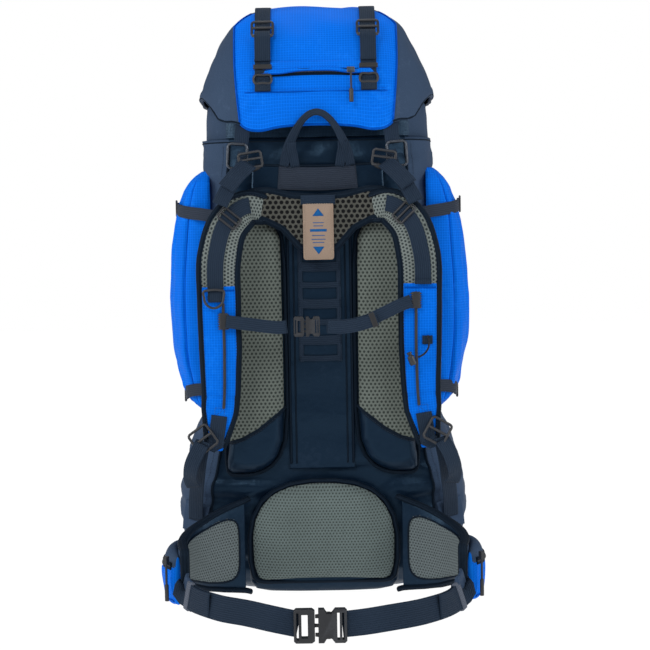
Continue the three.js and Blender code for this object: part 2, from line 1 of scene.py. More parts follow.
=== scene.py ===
import json
import bmesh
import bpy
import numpy as np
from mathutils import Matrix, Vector

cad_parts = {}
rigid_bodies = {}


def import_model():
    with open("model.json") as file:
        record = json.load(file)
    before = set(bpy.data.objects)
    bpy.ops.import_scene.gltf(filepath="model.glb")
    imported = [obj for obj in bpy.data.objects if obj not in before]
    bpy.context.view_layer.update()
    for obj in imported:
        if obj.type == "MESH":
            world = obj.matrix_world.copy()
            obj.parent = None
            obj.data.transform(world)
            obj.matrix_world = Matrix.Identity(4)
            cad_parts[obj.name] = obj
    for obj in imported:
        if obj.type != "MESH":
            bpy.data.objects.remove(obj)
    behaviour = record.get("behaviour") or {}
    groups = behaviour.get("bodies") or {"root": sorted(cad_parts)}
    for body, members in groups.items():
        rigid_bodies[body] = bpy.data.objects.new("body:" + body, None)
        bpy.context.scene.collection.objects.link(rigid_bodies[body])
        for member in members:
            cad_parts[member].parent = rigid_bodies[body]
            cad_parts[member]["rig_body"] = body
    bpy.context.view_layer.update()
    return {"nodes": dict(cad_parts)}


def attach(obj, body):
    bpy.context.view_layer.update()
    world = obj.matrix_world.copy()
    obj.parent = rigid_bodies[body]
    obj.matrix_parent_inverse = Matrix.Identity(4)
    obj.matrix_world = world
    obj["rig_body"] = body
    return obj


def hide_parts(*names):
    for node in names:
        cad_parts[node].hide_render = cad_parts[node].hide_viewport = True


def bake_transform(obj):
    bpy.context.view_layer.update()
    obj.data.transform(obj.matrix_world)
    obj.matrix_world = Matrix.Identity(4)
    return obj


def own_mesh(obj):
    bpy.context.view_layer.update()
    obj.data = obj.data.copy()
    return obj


# Trekking backpack: its sewn looks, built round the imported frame. Metres, harness side towards -Y.
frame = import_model()
mm = 0.001
bothSides = (("left", -1), ("right", 1))
print("frame loaded:", len(frame["nodes"]), "nodes")

# the camera stands behind the harness side and looks a little down on it
cameraSetup = {"place": (0.0088, -2.529, 0.604), "target": (0.0078, -0.135, 0.4365), "roll": -1.0,
    "lens": 83.1,
               "sensor": 36}


def makeCamera():
    # the camera looks from its place to its target and rolls a little
    data = bpy.data.cameras.new("camera")
    camera = bpy.data.objects.new("camera", data)
    bpy.context.scene.collection.objects.link(camera)
    place, target = Vector(cameraSetup["place"]), Vector(cameraSetup["target"])
    turn = (target - place).to_track_quat("-Z", "Y").to_euler()
    turn.rotate_axis("Z", np.radians(cameraSetup["roll"]))
    camera.location, camera.rotation_euler = place, turn
    data.lens, data.sensor_width = cameraSetup["lens"], cameraSetup["sensor"]
    bpy.context.scene.camera = camera


makeCamera()


# helpers for lines, grids of points and meshes
def hermite(corners, first, last, count):
    # cubic pieces through the corners, whose slopes come from the neighbours, from one corner to another
    t = np.concatenate([[0], np.cumsum(np.linalg.norm(np.diff(corners, axis=0), axis=1))])
    slope = np.gradient(corners, t, axis=0)
    fine = np.linspace(t[first], t[last], count)
    i = np.clip(np.searchsorted(t, fine, side="right") - 1, 0, len(t) - 2)
    h = (t[i + 1] - t[i])[:, None]
    s = (fine - t[i])[:, None] / h
    return ((2 * s**3 - 3 * s**2 + 1) * corners[i] + (s**3 - 2 * s**2 + s) * h * slope[i]
            + (3 * s**2 - 2 * s**3) * corners[i + 1] + (s**3 - s**2) * h * slope[i + 1])


def smoothLine(corners, count=None, step=0.004):
    # a smooth curve through the corners, cut into equal steps
    corners = np.array(corners, float)
    return evenly(hermite(corners, 0, -1, 24 * len(corners)), count, step)


def evenly(points, count=None, step=0.004):
    # the same polyline with its points at equal distances
    points = np.asarray(points, float)
    length = np.concatenate([[0], np.cumsum(np.linalg.norm(np.diff(points, axis=0), axis=1))])
    count = count or max(3, int(length[-1] / step) + 1)
    at = np.linspace(0, length[-1], count)
    return np.stack([np.interp(at, length, points[:, k]) for k in range(points.shape[1])], axis=1)


def closedLoop(points, count):
    # a closed smooth outline: the curve runs once round through points repeated past both ends
    points = np.array(points, float)
    ring = np.concatenate([points[-3:], points, points[:3]])
    return evenly(hermite(ring, 3, 3 + len(points), 24 * len(points)), count + 1)[:-1]


def sides(line, facing):
    # for each point of a line: the direction across it and the direction out of it, square to the line
    along = np.gradient(line, axis=0)
    along /= np.linalg.norm(along, axis=1, keepdims=True)
    across = np.cross(along, np.broadcast_to(np.array(facing, float), line.shape))
    across /= np.linalg.norm(across, axis=1, keepdims=True)
    return across, np.cross(across, along)


def unit(vectors):
    # each vector divided by its length
    return vectors / np.maximum(np.linalg.norm(vectors, axis=-1, keepdims=True), 1e-9)


def curved(value, power):
    # the value's size raised to a power, with its sign kept
    return np.sign(value) * np.abs(value) ** power


def ripple(points, size, seed, waves=10, stretch=(1, 1, 1)):
    # a smooth random height, about -1 to 1: many sine waves with fixed random directions and shifts
    draw = np.random.default_rng(seed)
    directions = unit(draw.normal(size=(waves, 3))) * draw.uniform(0.6, 1.7, (waves, 1)) / np.array(stretch)
    shifts = draw.uniform(0, 2 * np.pi, waves)
    return np.sin(points @ directions.T * (2 * np.pi / size) + shifts).sum(axis=-1) / np.sqrt(waves)


def surface(name, points, looks, around=True, along=False, zones=None, start=0, turn=True):
    # a grid of points [along, around] made a mesh, with a UV map in metres: U along the piece, V round it
    points = np.asarray(points, float)
    n, m = points.shape[:2]
    ring = np.concatenate([points, points[:, :1]], axis=1) if around else points
    v = np.cumsum(np.linalg.norm(np.diff(ring, axis=1), axis=2), axis=1)
    v = np.concatenate([np.zeros((n, 1)), v], axis=1)
    v -= v[:, start:start + 1]
    rows = np.concatenate([ring, ring[:1]], axis=0) if along else ring
    u = np.cumsum(np.linalg.norm(np.diff(rows, axis=0), axis=2).mean(axis=1))
    u = np.repeat(np.concatenate([[0], u])[:, None], ring.shape[1], axis=1)
    if along:
        v = np.concatenate([v, v[:1]], axis=0)
    i, j = np.meshgrid(np.arange(n if along else n - 1), np.arange(m if around else m - 1), indexing="ij")
    i, j = i.ravel(), j.ravel()
    iNext, jNext = (i + 1) % n, (j + 1) % m
    faces = np.stack([i * m + j, iNext * m + j, iNext * m + jNext, i * m + jNext], axis=1)
    faceUv = np.stack([np.stack([u[a, b], v[a, b]], axis=1) for a,
        b in ((i, j), (i + 1, j), (i + 1, j + 1), (i, j + 1))], axis=1)
    polygons = faces.tolist()
    uv = faceUv.reshape(-1, 2)
    if around and not along:
        ends = [list(range(m))[::-1], list(range((n - 1) * m, n * m))]
        polygons += ends
        uv = np.concatenate([uv, np.zeros((2 * m, 2))])
    mesh = bpy.data.meshes.new(name)
    mesh.from_pydata(points.reshape(-1, 3), [], polygons)
    layer = mesh.uv_layers.new(name="UVMap")
    layer.data.foreach_set("uv", uv.astype(np.float32).ravel())
    for look in [looks] if isinstance(looks, str) else looks:
        mesh.materials.append(finish[look])
    if zones is not None:
        index = np.zeros(len(polygons), np.int32)
        index[:len(faces)] = np.asarray(zones).ravel()
        mesh.polygons.foreach_set("material_index", index)
    mesh.polygons.foreach_set("use_smooth", np.ones(len(polygons), bool))
    if turn:
        outwards(mesh)
    return linked(name, mesh)


def outwards(mesh):
    # all face normals are turned out
    shell = bmesh.new()
    shell.from_mesh(mesh)
    bmesh.ops.recalc_face_normals(shell, faces=shell.faces)
    shell.to_mesh(mesh)
    shell.free()


def linked(name, mesh):
    # the mesh becomes an object of the scene
    piece = bpy.data.objects.new(name, mesh)
    bpy.context.scene.collection.objects.link(piece)
    return piece


def joinPieces(name, parts):
    # several meshes become one piece
    bpy.ops.object.select_all(action="DESELECT")
    for part in parts:
        part.select_set(True)
    bpy.context.view_layer.objects.active = parts[0]
    bpy.ops.object.join()
    parts[0].name = parts[0].data.name = name
    return parts[0]


def settle(piece, body, nodes=()):
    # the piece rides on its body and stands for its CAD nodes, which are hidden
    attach(piece, body)
    if nodes:
        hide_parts(*nodes)
    return piece


def rounded(width, thickness, points=16, squareness=4):
    # a flat rounded section: a squared ellipse of the given width and thickness
    a = np.linspace(0, 2 * np.pi, points, endpoint=False) + np.pi / points
    return np.stack([curved(np.cos(a), 2 / squareness) * width / 2,
        curved(np.sin(a), 2 / squareness) * thickness / 2], axis=1)


def sweep(line, section, facing, width=None):
    # a section of [across, out] carried along a line; width holds one factor for each point of the line
    across, out = sides(line, facing)
    section = np.asarray(section)
    if section.ndim == 2:
        section = np.repeat(section[None], len(line), axis=0)
    if width is not None:
        section = section * np.stack([width, np.ones_like(width)], axis=1)[:, None]
    return line[:, None] + section[..., :1] * across[:, None] + section[..., 1:] * out[:, None]


def strap(name, corners, width, look, thickness=1.8 * mm, facing=(0, -1, 0), step=0.004, ripples=0.0,
        seed=1):
    # a band of webbing: a flat rounded section swept along a smooth line
    line = smoothLine(corners, step=step)
    if ripples:
        out = sides(line, facing)[1]
        line = line + out * (ripple(line, 0.05, seed) * ripples)[:, None]
    return surface(name, sweep(line, rounded(width, thickness, 20, 5), facing), look)


def piping(name, line, radius, look, facing=(0, -1, 0.01), closed=False, points=8, flat=1.0):
    # a round cord of fabric: an ellipse swept along a line, or round a closed one
    a = np.linspace(0, 2 * np.pi, points, endpoint=False)
    section = np.stack([np.cos(a) * radius, np.sin(a) * radius * flat], axis=1)
    if not closed:
        return surface(name, sweep(line, section, facing), look)
    ring = np.concatenate([line[-2:], line, line[:2]])
    return surface(name, sweep(ring, section, facing)[2:-2], look, along=True)


def stitches(name, line, facing=(0, -1, 0), look="thread", dash=3.2 * mm, space=1.5 * mm, radius=0.32 * mm,
        lift=0.2 * mm):
    # a row of short thread dashes lying on a line: each is a small six-sided grain
    line = np.asarray(line, float)
    count = max(1, int(np.linalg.norm(np.diff(line, axis=0), axis=1).sum() / (dash + space)))
    fine = evenly(line, count * 6 + 1)
    across, out = sides(fine, facing)
    rings = []
    for share, fat in ((0, 0.3), (1, 1), (3, 1), (4, 0.3)):
        at = np.arange(count) * 6 + share
        a = np.linspace(0, 2 * np.pi, 5, endpoint=False)
        ring = fine[at][:, None] + across[at][:, None] * (np.cos(a) * radius * fat)[None, :, None]
        rings.append(ring + out[at][:, None] * (np.sin(a) * radius * fat + lift)[None, :, None])
    grid = np.stack(rings, axis=1)
    k = np.arange(count)[:, None] * 20
    quads = [[r * 5 + j, (r + 1) * 5 + j, (r + 1) * 5 + (j + 1) % 5, r * 5 + (j + 1) % 5] for r in range(3)
        for j in range(5)]
    faces = (k[:, :, None] + np.array(quads)[None]).reshape(-1, 4).tolist()
    faces += (k + np.array([4, 3, 2, 1, 0])).tolist() + (k + np.array([15, 16, 17, 18, 19])).tolist()
    mesh = bpy.data.meshes.new(name)
    mesh.from_pydata(grid.reshape(-1, 3), [], faces)
    mesh.materials.append(finish[look])
    mesh.polygons.foreach_set("use_smooth", np.ones(len(faces), bool))
    outwards(mesh)
    return linked(name, mesh)


def softened(node, look, bevel):
    # a moulded copy of a CAD node: corners merged, edges rounded, the rest of its shape kept
    source = frame["nodes"][node]
    mesh = source.data.copy()
    shell = bmesh.new()
    shell.from_mesh(mesh)
    bmesh.ops.remove_doubles(shell, verts=shell.verts, dist=0.00002)
    bmesh.ops.dissolve_limit(shell, angle_limit=np.radians(1), verts=shell.verts, edges=shell.edges)
    shell.to_mesh(mesh)
    shell.free()
    mesh.materials.clear()
    mesh.materials.append(finish[look])
    mesh.polygons.foreach_set("use_smooth", np.ones(len(mesh.polygons), bool))
    piece = linked(node + "_moulded", mesh)
    rounding = piece.modifiers.new("rounding", "BEVEL")
    rounding.width, rounding.segments, rounding.limit_method = bevel, 2, "ANGLE"
    rounding.angle_limit, rounding.harden_normals = np.radians(30), False
    rounding.use_clamp_overlap = True
    weighting = piece.modifiers.new("weighting", "WEIGHTED_NORMAL")
    weighting.keep_sharp = True
    return piece


def bodyOf(node):
    # the name of the body that a CAD node belongs to
    return frame["nodes"][node]["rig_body"]


# shader patterns shared by the materials
class Wiring:
    # short ways to add and join shader nodes in one tree
    def __init__(self, tree):
        self.tree = tree

    def add(self, kind, **values):
        node = self.tree.nodes.new(kind)
        for key, value in values.items():
            setattr(node, key, value)
        return node

    def join(self, source, target):
        self.tree.links.new(source, target)

    def math(self, operation, first, second=None, third=None, clamp=False):
        node = self.add("ShaderNodeMath", operation=operation, use_clamp=clamp)
        for socket, value in zip(node.inputs, (first, second, third)):
            if value is None:
                continue
            if isinstance(value, (int, float)):
                socket.default_value = value
            else:
                self.join(value, socket)
        return node.outputs[0]

    def vector(self, operation, first, second=None):
        node = self.add("ShaderNodeVectorMath", operation=operation)
        for socket, value in zip(node.inputs, (first, second)):
            if value is None:
                continue
            if isinstance(value, tuple):
                socket.default_value = value
            else:
                self.join(value, socket)
        return node

    def fade(self, value, low, high, first=0.0, last=1.0):
        node = self.add("ShaderNodeMapRange", interpolation_type="SMOOTHSTEP")
        self.join(value, node.inputs["Value"])
        for key, number in (("From Min", low), ("From Max", high), ("To Min", first), ("To Max", last)):
            node.inputs[key].default_value = number
        return node.outputs["Result"]

    def mix(self, factor, first, second):
        node = self.add("ShaderNodeMix", data_type="RGBA")
        for socket, value in zip((node.inputs[0], node.inputs[6], node.inputs[7]), (factor, first, second)):
            if isinstance(value, (tuple, float, int)):
                socket.default_value = value
            else:
                self.join(value, socket)
        return node.outputs[2]

    def noise(self, coordinate, scale, detail=2.0, rough=0.5):
        node = self.add("ShaderNodeTexNoise")
        node.inputs["Scale"].default_value = scale
        node.inputs["Detail"].default_value = detail
        node.inputs["Roughness"].default_value = rough
        self.join(coordinate, node.inputs["Vector"])
        return node.outputs["Fac"]


def shaderGroup(name, inputs, outputs, build):
    # a reusable group: named inputs with defaults, named outputs, and the function that wires it
    tree = bpy.data.node_groups.new(name, "ShaderNodeTree")
    for key, value in inputs.items():
        kind = "NodeSocketVector" if value is None else "NodeSocketFloat"
        socket = tree.interface.new_socket(name=key, in_out="INPUT", socket_type=kind)
        if value is not None:
            socket.default_value = value
    for key in outputs:
        tree.interface.new_socket(name=key, in_out="OUTPUT", socket_type="NodeSocketFloat")
    w = Wiring(tree)
    source, target = w.add("NodeGroupInput"), w.add("NodeGroupOutput")
    for key, value in build(w, source.outputs).items():
        w.join(value, target.inputs[key])
    return tree


def weaveGroup(w, i):
    # threads over and under: the product of two sine waves, roughened by fine noise
    at = w.vector("SCALE", i["Coordinate"])
    w.join(w.math("DIVIDE", 3.14159, i["Pitch"]), at.inputs["Scale"])
    parts = w.add("ShaderNodeSeparateXYZ")
    w.join(at.outputs[0], parts.inputs[0])
    over = w.math("MULTIPLY", w.math("SINE", parts.outputs[0]), w.math("SINE", parts.outputs[1]))
    speckle = w.noise(i["Coordinate"], 900)
    return {"Height": w.math("ADD", w.math("MULTIPLY", over, 0.5), speckle), "Speckle": speckle}


def gridGroup(w, i):
    # ripstop lines: bright where either coordinate is near a whole number of cells
    scaled = w.vector("SCALE", i["Coordinate"])
    w.join(w.math("DIVIDE", 1.0, i["Cell"]), scaled.inputs["Scale"])
    parts = w.add("ShaderNodeSeparateXYZ")
    w.join(scaled.outputs[0], parts.inputs[0])
    lines = []
    for k in (0, 1):
        nearest = w.math("ABSOLUTE", w.math("SUBTRACT", w.math("FRACT", parts.outputs[k]), 0.5))
        lines.append(w.fade(nearest, 0.40, 0.46))
    either = w.math("MAXIMUM", lines[0], lines[1])
    return {"Lines": either, "Crossings": w.math("MULTIPLY", lines[0], lines[1])}


def hexGroup(w, i):
    # round holes in a honeycomb order: the nearer of two rectangular lattices half a cell apart
    scaled = w.vector("SCALE", i["Coordinate"])
    w.join(w.math("DIVIDE", 1.0, i["Pitch"]), scaled.inputs["Scale"])
    distances = []
    for shift in ((0, 0, 0), (0.5, 0.866, 0)):
        moved = w.vector("ADD", scaled.outputs[0], shift)
        wrapped = w.add("ShaderNodeVectorMath", operation="WRAP")
        w.join(moved.outputs[0], wrapped.inputs[0])
        wrapped.inputs[1].default_value = (0.5, 0.866, 0.5)
        wrapped.inputs[2].default_value = (-0.5, -0.866, -0.5)
        flat = w.vector("MULTIPLY", wrapped.outputs[0], (1, 1, 0))
        distances.append(w.vector("LENGTH", flat.outputs[0]).outputs["Value"])
    nearest = w.math("MINIMUM", *distances)
    hole = w.math("SUBTRACT", i["Hole"], nearest)
    return {"Hole": w.fade(hole, -0.04, 0.06), "Height": w.fade(nearest, 0.12, 0.55)}


def ribGroup(w, i):
    # woven ribs across a strap, with a fine chevron inside and a selvedge line near each edge
    parts = w.add("ShaderNodeSeparateXYZ")
    w.join(i["Coordinate"], parts.inputs[0])
    along = w.math("MULTIPLY", parts.outputs[0], w.math("DIVIDE", 6.28318, i["Pitch"]))
    across = w.math("MULTIPLY", parts.outputs[1], w.math("DIVIDE", 6.28318, i["Rows"]))
    ribs = w.math("MULTIPLY", w.math("SINE", along), 0.6)
    rows = w.math("MULTIPLY", w.math("SINE", w.math("ADD", across,
        w.math("MULTIPLY", w.math("SINE", along), 0.8))), 0.6)
    return {"Height": w.math("ADD", ribs, rows), "Rows": w.math("SINE", across)}


def scuffGroup(w, i):
    # slow cloudy variation and small pale scuffs, from two noises of different size
    cloud = w.noise(i["Coordinate"], 9, 3)
    fine = w.noise(i["Coordinate"], 140, 4, 0.65)
    return {"Cloud": cloud, "Scuff": w.fade(w.math("MULTIPLY", cloud, fine), 0.30, 0.42)}


def edgeGroup(w, i):
    # pale worn edges where the shape turns sharply outwards, broken up by noise
    shape = w.add("ShaderNodeNewGeometry")
    sharp = w.fade(shape.outputs["Pointiness"], 0.51, 0.60)
    return {"Wear": w.math("MULTIPLY", sharp, w.noise(i["Coordinate"], 220, 3))}


groups = {
    "weave": shaderGroup("weave", {"Coordinate": None, "Pitch": 0.0008}, ("Height", "Speckle"), weaveGroup),
    "ripstop": shaderGroup("ripstop", {"Coordinate": None, "Cell": 0.004}, ("Lines", "Crossings"),
    gridGroup),
    "holes": shaderGroup("holes", {"Coordinate": None, "Pitch": 0.004, "Hole": 0.3}, ("Hole", "Height"),
    hexGroup),
    "ribs": shaderGroup("ribs", {"Coordinate": None, "Pitch": 0.0016, "Rows": 0.0022}, ("Height", "Rows"),
    ribGroup),
    "scuffs": shaderGroup("scuffs", {"Coordinate": None}, ("Cloud", "Scuff"), scuffGroup),
    "edges": shaderGroup("edges", {"Coordinate": None}, ("Wear",), edgeGroup),
}


# the materials, each with its own colours
finish = {}


def lighter(colour, factor, added=0.0):
    # a colour times a factor plus a little, kept at 1 or below
    return tuple(min(1, factor * c + added) for c in colour[:3]) + (1,)


def material(name, build, roughness=0.7, metallic=0.0, **constants):
    # a Principled surface; constants are set on its own sockets, and build wires what varies
    made = bpy.data.materials.new(name)
    made.use_nodes = True
    shader = made.node_tree.nodes["Principled BSDF"]
    shader.inputs["Roughness"].default_value = roughness
    shader.inputs["Metallic"].default_value = metallic
    for key, value in constants.items():
        shader.inputs[key.replace("_", " ")].default_value = value
    build(Wiring(made.node_tree), shader)
    finish[name] = made


def place(w, coordinate):
    # the piece's own UV map in metres, or its Object coordinates, turned so that the pattern lies in
    # the first two
    node = w.add("ShaderNodeTexCoord")
    if coordinate == "UV":
        return node.outputs["UV"]
    if coordinate == "Object":
        return node.outputs["Object"]
    parts, turned = w.add("ShaderNodeSeparateXYZ"), w.add("ShaderNodeCombineXYZ")
    w.join(node.outputs["Object"], parts.inputs[0])
    w.join(parts.outputs[0], turned.inputs[0])
    w.join(parts.outputs[2], turned.inputs[1])
    return turned.outputs[0]


def use(w, group, coordinate, **values):
    # a shared group is placed in the tree and fed with its coordinate and values
    node = w.add("ShaderNodeGroup", node_tree=groups[group])
    w.join(coordinate, node.inputs["Coordinate"])
    for key, value in values.items():
        node.inputs[key].default_value = value
    return node.outputs


def bump(w, shader, height, depth, strength=1.0, under=None):
    # a height becomes a bump on the shader, over another bump where one is given
    node = w.add("ShaderNodeBump")
    node.inputs["Distance"].default_value = depth
    node.inputs["Strength"].default_value = strength
    w.join(height, node.inputs["Height"])
    if under is not None:
        w.join(under, node.inputs["Normal"])
    w.join(node.outputs["Normal"], shader.inputs["Normal"])
    return node.outputs["Normal"]


def fabric(name, colour, light, coordinate="UV", pitch=0.0009, roughness=0.6, crease=0.0016, ripstop=None,
        shine=0.2,
           tint=(0.35, 0.65, 1.0, 1)):
    # woven nylon: two thread colours, cloudy tone, fine creases, and a ripstop grid where a cell size
    # is given
    def build(w, shader):
        at, solid = place(w, coordinate), place(w, "Object")
        weave, scuffs = use(w, "weave", at, Pitch=pitch), use(w, "scuffs", solid)
        tone = w.mix(w.fade(weave["Speckle"], 0.3, 0.7), colour, light)
        tone = w.mix(w.math("MULTIPLY", w.fade(scuffs["Cloud"], 0.35, 0.7), 0.35), tone, light)
        tone = w.mix(w.math("MULTIPLY", scuffs["Scuff"], 0.12), tone, lighter(light, 2.2, 0.02))
        height = w.math("MULTIPLY", weave["Height"], 0.12)
        if ripstop:
            grid = use(w, "ripstop", at, Cell=ripstop)
            tone = w.mix(w.math("MULTIPLY", grid["Lines"], 0.45), tone, lighter(light, 1.9, 0.004))
            height = w.math("ADD", height, w.math("MULTIPLY", grid["Lines"], 0.5))
        w.join(tone, shader.inputs["Base Color"])
        creases = w.add("ShaderNodeBump")
        creases.inputs["Distance"].default_value = crease
        creases.inputs["Strength"].default_value = 0.6
        w.join(w.noise(solid, 34, 3, 0.55), creases.inputs["Height"])
        bump(w, shader, height, 0.0003, 0.8, creases.outputs["Normal"])
        w.join(w.fade(scuffs["Cloud"], 0.3, 0.7, roughness - 0.08, roughness + 0.08),
            shader.inputs["Roughness"])
    material(name, build, roughness, Specular_IOR_Level=shine, Specular_Tint=tint)


def spacerMesh(name, colour, hole, coordinate="front", pitch=0.0048, size=0.30, depth=0.0009,
        roughness=0.85):
    # knitted spacer mesh: round holes in honeycomb order, darker inside, on a knit of fine loops
    def build(w, shader):
        at, solid = place(w, coordinate), place(w, "Object")
        holes, weave, scuffs = use(w, "holes", at, Pitch=pitch, Hole=size), use(w, "weave", at,
            Pitch=0.0007), use(w, "scuffs", solid)
        tone = w.mix(w.fade(weave["Height"], 0.2, 1.0), lighter(colour, 0.72), colour)
        tone = w.mix(w.math("MULTIPLY", w.fade(scuffs["Cloud"], 0.35, 0.7), 0.3), tone,
            lighter(colour, 1.25))
        tone = w.mix(holes["Hole"], tone, hole)
        w.join(tone, shader.inputs["Base Color"])
        height = w.math("ADD", w.math("MULTIPLY", holes["Height"], 1.0),
            w.math("MULTIPLY", weave["Height"], 0.12))
        bump(w, shader, height, depth, 0.9)
    material(name, build, roughness, Sheen_Weight=0.03, Specular_IOR_Level=0.12)


def webbingFinish(name, colour, light, pitch=0.0017, rows=0.0031, roughness=0.62):
    # woven strap: ribs across it and rows along it, paler on the crests
    def build(w, shader):
        at, solid = place(w, "UV"), place(w, "Object")
        ribs, scuffs = use(w, "ribs", at, Pitch=pitch, Rows=rows), use(w, "scuffs", solid)
        tone = w.mix(w.fade(ribs["Height"], -0.7, 1.1), colour, light)
        tone = w.mix(w.math("MULTIPLY", w.fade(scuffs["Cloud"], 0.4, 0.7), 0.3), tone, light)
        w.join(tone, shader.inputs["Base Color"])
        bump(w, shader, ribs["Height"], 0.0003, 0.9)
    material(name, build, roughness, Specular_IOR_Level=0.14, Specular_Tint=(0.5, 0.75, 1.0, 1))


def moulded(name, colour, light, roughness=0.42, metallic=0.0, grain=0.00008):
    # moulded or cast part: fine grain, cloudy gloss and paler worn edges
    def build(w, shader):
        solid = place(w, "Object")
        scuffs, wear = use(w, "scuffs", solid), use(w, "edges", solid)
        tone = w.mix(w.fade(scuffs["Cloud"], 0.3, 0.75), colour, lighter(colour, 1.3))
        w.join(w.mix(wear["Wear"], tone, light), shader.inputs["Base Color"])
        w.join(w.fade(scuffs["Cloud"], 0.3, 0.7, roughness - 0.06, roughness + 0.1),
            shader.inputs["Roughness"])
        bump(w, shader, w.noise(solid, 2600, 2), grain, 0.6)
    material(name, build, roughness, metallic, Specular_IOR_Level=0.5)


def corded(name, colour, light, pitch=0.0016, roughness=0.6):
    # braided cord: two sets of diagonal strands
    def build(w, shader):
        parts = w.add("ShaderNodeSeparateXYZ")
        w.join(place(w, "UV"), parts.inputs[0])
        strands = []
        for sign in (1, -1):
            slant = w.math("ADD", parts.outputs[0], w.math("MULTIPLY", parts.outputs[1], float(sign)))
            strands.append(w.math("SINE", w.math("MULTIPLY", slant, 6.28318 / pitch)))
        braid = w.math("MAXIMUM", *strands)
        w.join(w.mix(w.fade(braid, -0.2, 1.0), colour, light), shader.inputs["Base Color"])
        bump(w, shader, braid, 0.0003, 0.8)
    material(name, build, roughness, Specular_IOR_Level=0.2)


fabric("navyNylon", (0.0014, 0.0050, 0.0130, 1), (0.0034, 0.0105, 0.0250, 1), roughness=0.36,
    crease=0.0030, shine=0.34)
fabric("navyRipstop", (0.0016, 0.0056, 0.0140, 1), (0.0036, 0.0110, 0.0265, 1), roughness=0.36,
    crease=0.0030, ripstop=0.005, shine=0.34)
fabric("navyLining", (0.0012, 0.0028, 0.0075, 1), (0.0026, 0.0060, 0.0140, 1), coordinate="front",
    shine=0.1)
fabric("slateNylon", (0.0240, 0.0410, 0.0760, 1), (0.0390, 0.0620, 0.1080, 1), pitch=0.0013,
    roughness=0.64, crease=0.0014, shine=0.12)
fabric("blueRipstop", (0.0004, 0.096, 0.54, 1), (0.0010, 0.124, 0.66, 1), pitch=0.0008, ripstop=0.0042,
    crease=0.0014, shine=0.06)
fabric("blueSeam", (0.0003, 0.050, 0.33, 1), (0.0006, 0.072, 0.43, 1), pitch=0.0008, shine=0.05)
webbingFinish("binding", (0.0020, 0.0046, 0.0100, 1), (0.0062, 0.0120, 0.0230, 1), pitch=0.0012,
    rows=0.0050)
webbingFinish("webbing", (0.0085, 0.0150, 0.0280, 1), (0.0210, 0.0330, 0.0560, 1))
webbingFinish("greyWebbing", (0.0170, 0.0220, 0.0340, 1), (0.0340, 0.0420, 0.0620, 1))
webbingFinish("paleWebbing", (0.070, 0.082, 0.110, 1), (0.120, 0.135, 0.170, 1))
spacerMesh("backMesh", (0.142, 0.166, 0.150, 1), (0.030, 0.038, 0.035, 1), pitch=0.0066)
spacerMesh("strapMesh", (0.175, 0.205, 0.198, 1), (0.026, 0.034, 0.036, 1), coordinate="UV", pitch=0.0060)
spacerMesh("lumbarMesh", (0.130, 0.168, 0.166, 1), (0.040, 0.052, 0.050, 1), pitch=0.0052, size=0.27)
spacerMesh("wingMesh", (0.130, 0.160, 0.168, 1), (0.042, 0.052, 0.054, 1), coordinate="UV", pitch=0.0052,
    size=0.27)
spacerMesh("honeycomb", (0.086, 0.088, 0.078, 1), (0.0045, 0.005, 0.006, 1), pitch=0.0088, size=0.35,
    depth=0.0020)
moulded("plastic", (0.0042, 0.0052, 0.0080, 1), (0.030, 0.034, 0.042, 1))
moulded("gunmetal", (0.030, 0.035, 0.045, 1), (0.15, 0.17, 0.20, 1), roughness=0.32, metallic=0.9,
    grain=0.00003)
moulded("aluminium", (0.55, 0.56, 0.58, 1), (0.85, 0.86, 0.88, 1), roughness=0.33, metallic=1.0,
    grain=0.00003)
moulded("sheetPlastic", (0.020, 0.021, 0.023, 1), (0.08, 0.08, 0.085, 1), roughness=0.5)
moulded("rubber", (0.0065, 0.0072, 0.009, 1), (0.03, 0.032, 0.036, 1), roughness=0.7, grain=0.00015)
corded("cord", (0.005, 0.0065, 0.010, 1), (0.020, 0.024, 0.033, 1))
webbingFinish("thread", (0.020, 0.030, 0.052, 1), (0.042, 0.056, 0.088, 1), pitch=0.0007, rows=0.0009)
webbingFinish("blueThread", (0.001, 0.060, 0.40, 1), (0.002, 0.085, 0.50, 1), pitch=0.0007, rows=0.0009)
webbingFinish("paleThread", (0.26, 0.21, 0.16, 1), (0.38, 0.32, 0.25, 1), pitch=0.0007, rows=0.0009)
fabric("card", (0.245, 0.180, 0.138, 1), (0.30, 0.225, 0.175, 1), coordinate="front", pitch=0.0006,
    roughness=0.8, crease=0.0004, shine=0.1, tint=(1, 1, 1, 1))
fabric("cardBlue", (0.006, 0.070, 0.22, 1), (0.010, 0.092, 0.28, 1), coordinate="front", roughness=0.7)
print("finishes ready:", len(finish))


# the moulded parts and the keeper cord
def hardware():
    # moulded nodes get rounded edges: plastic parts, metal sliders, and the hidden sheet and stays
    words = ("lid_buckle", "belt_buckle", "sternum_buckle", "slider", "prong", "cord_lock", "keeper_lock",
        "lock_button", "zip_pull")
    for node in [n for n in frame["nodes"] if any(word in n for word in words)]:
        bevel = 0.45 * mm if ("button" in node or "prong" in node) else 0.8 * mm
        metal = "zip_slider" in node
        piece = softened(node, "gunmetal" if metal else "plastic", bevel)
        settle(piece, bodyOf(node), [node])
    for node, look, slotName in (("frame_sheet", "sheetPlastic", "frame_plastic"),
            ("stay_left", "aluminium", "stay_aluminium"),
                                 ("stay_right", "aluminium", "stay_aluminium")):
        settle(softened(node, look, 0.5 * mm), bodyOf(node), [node])


hardware()

keeper = {"corners": ((166, -223.5, 424), (167.5, -226.5, 415), (166, -227, 404), (159.5, -227, 395.5),
    (150.5, -227, 390.5)), "radius": 1.5}


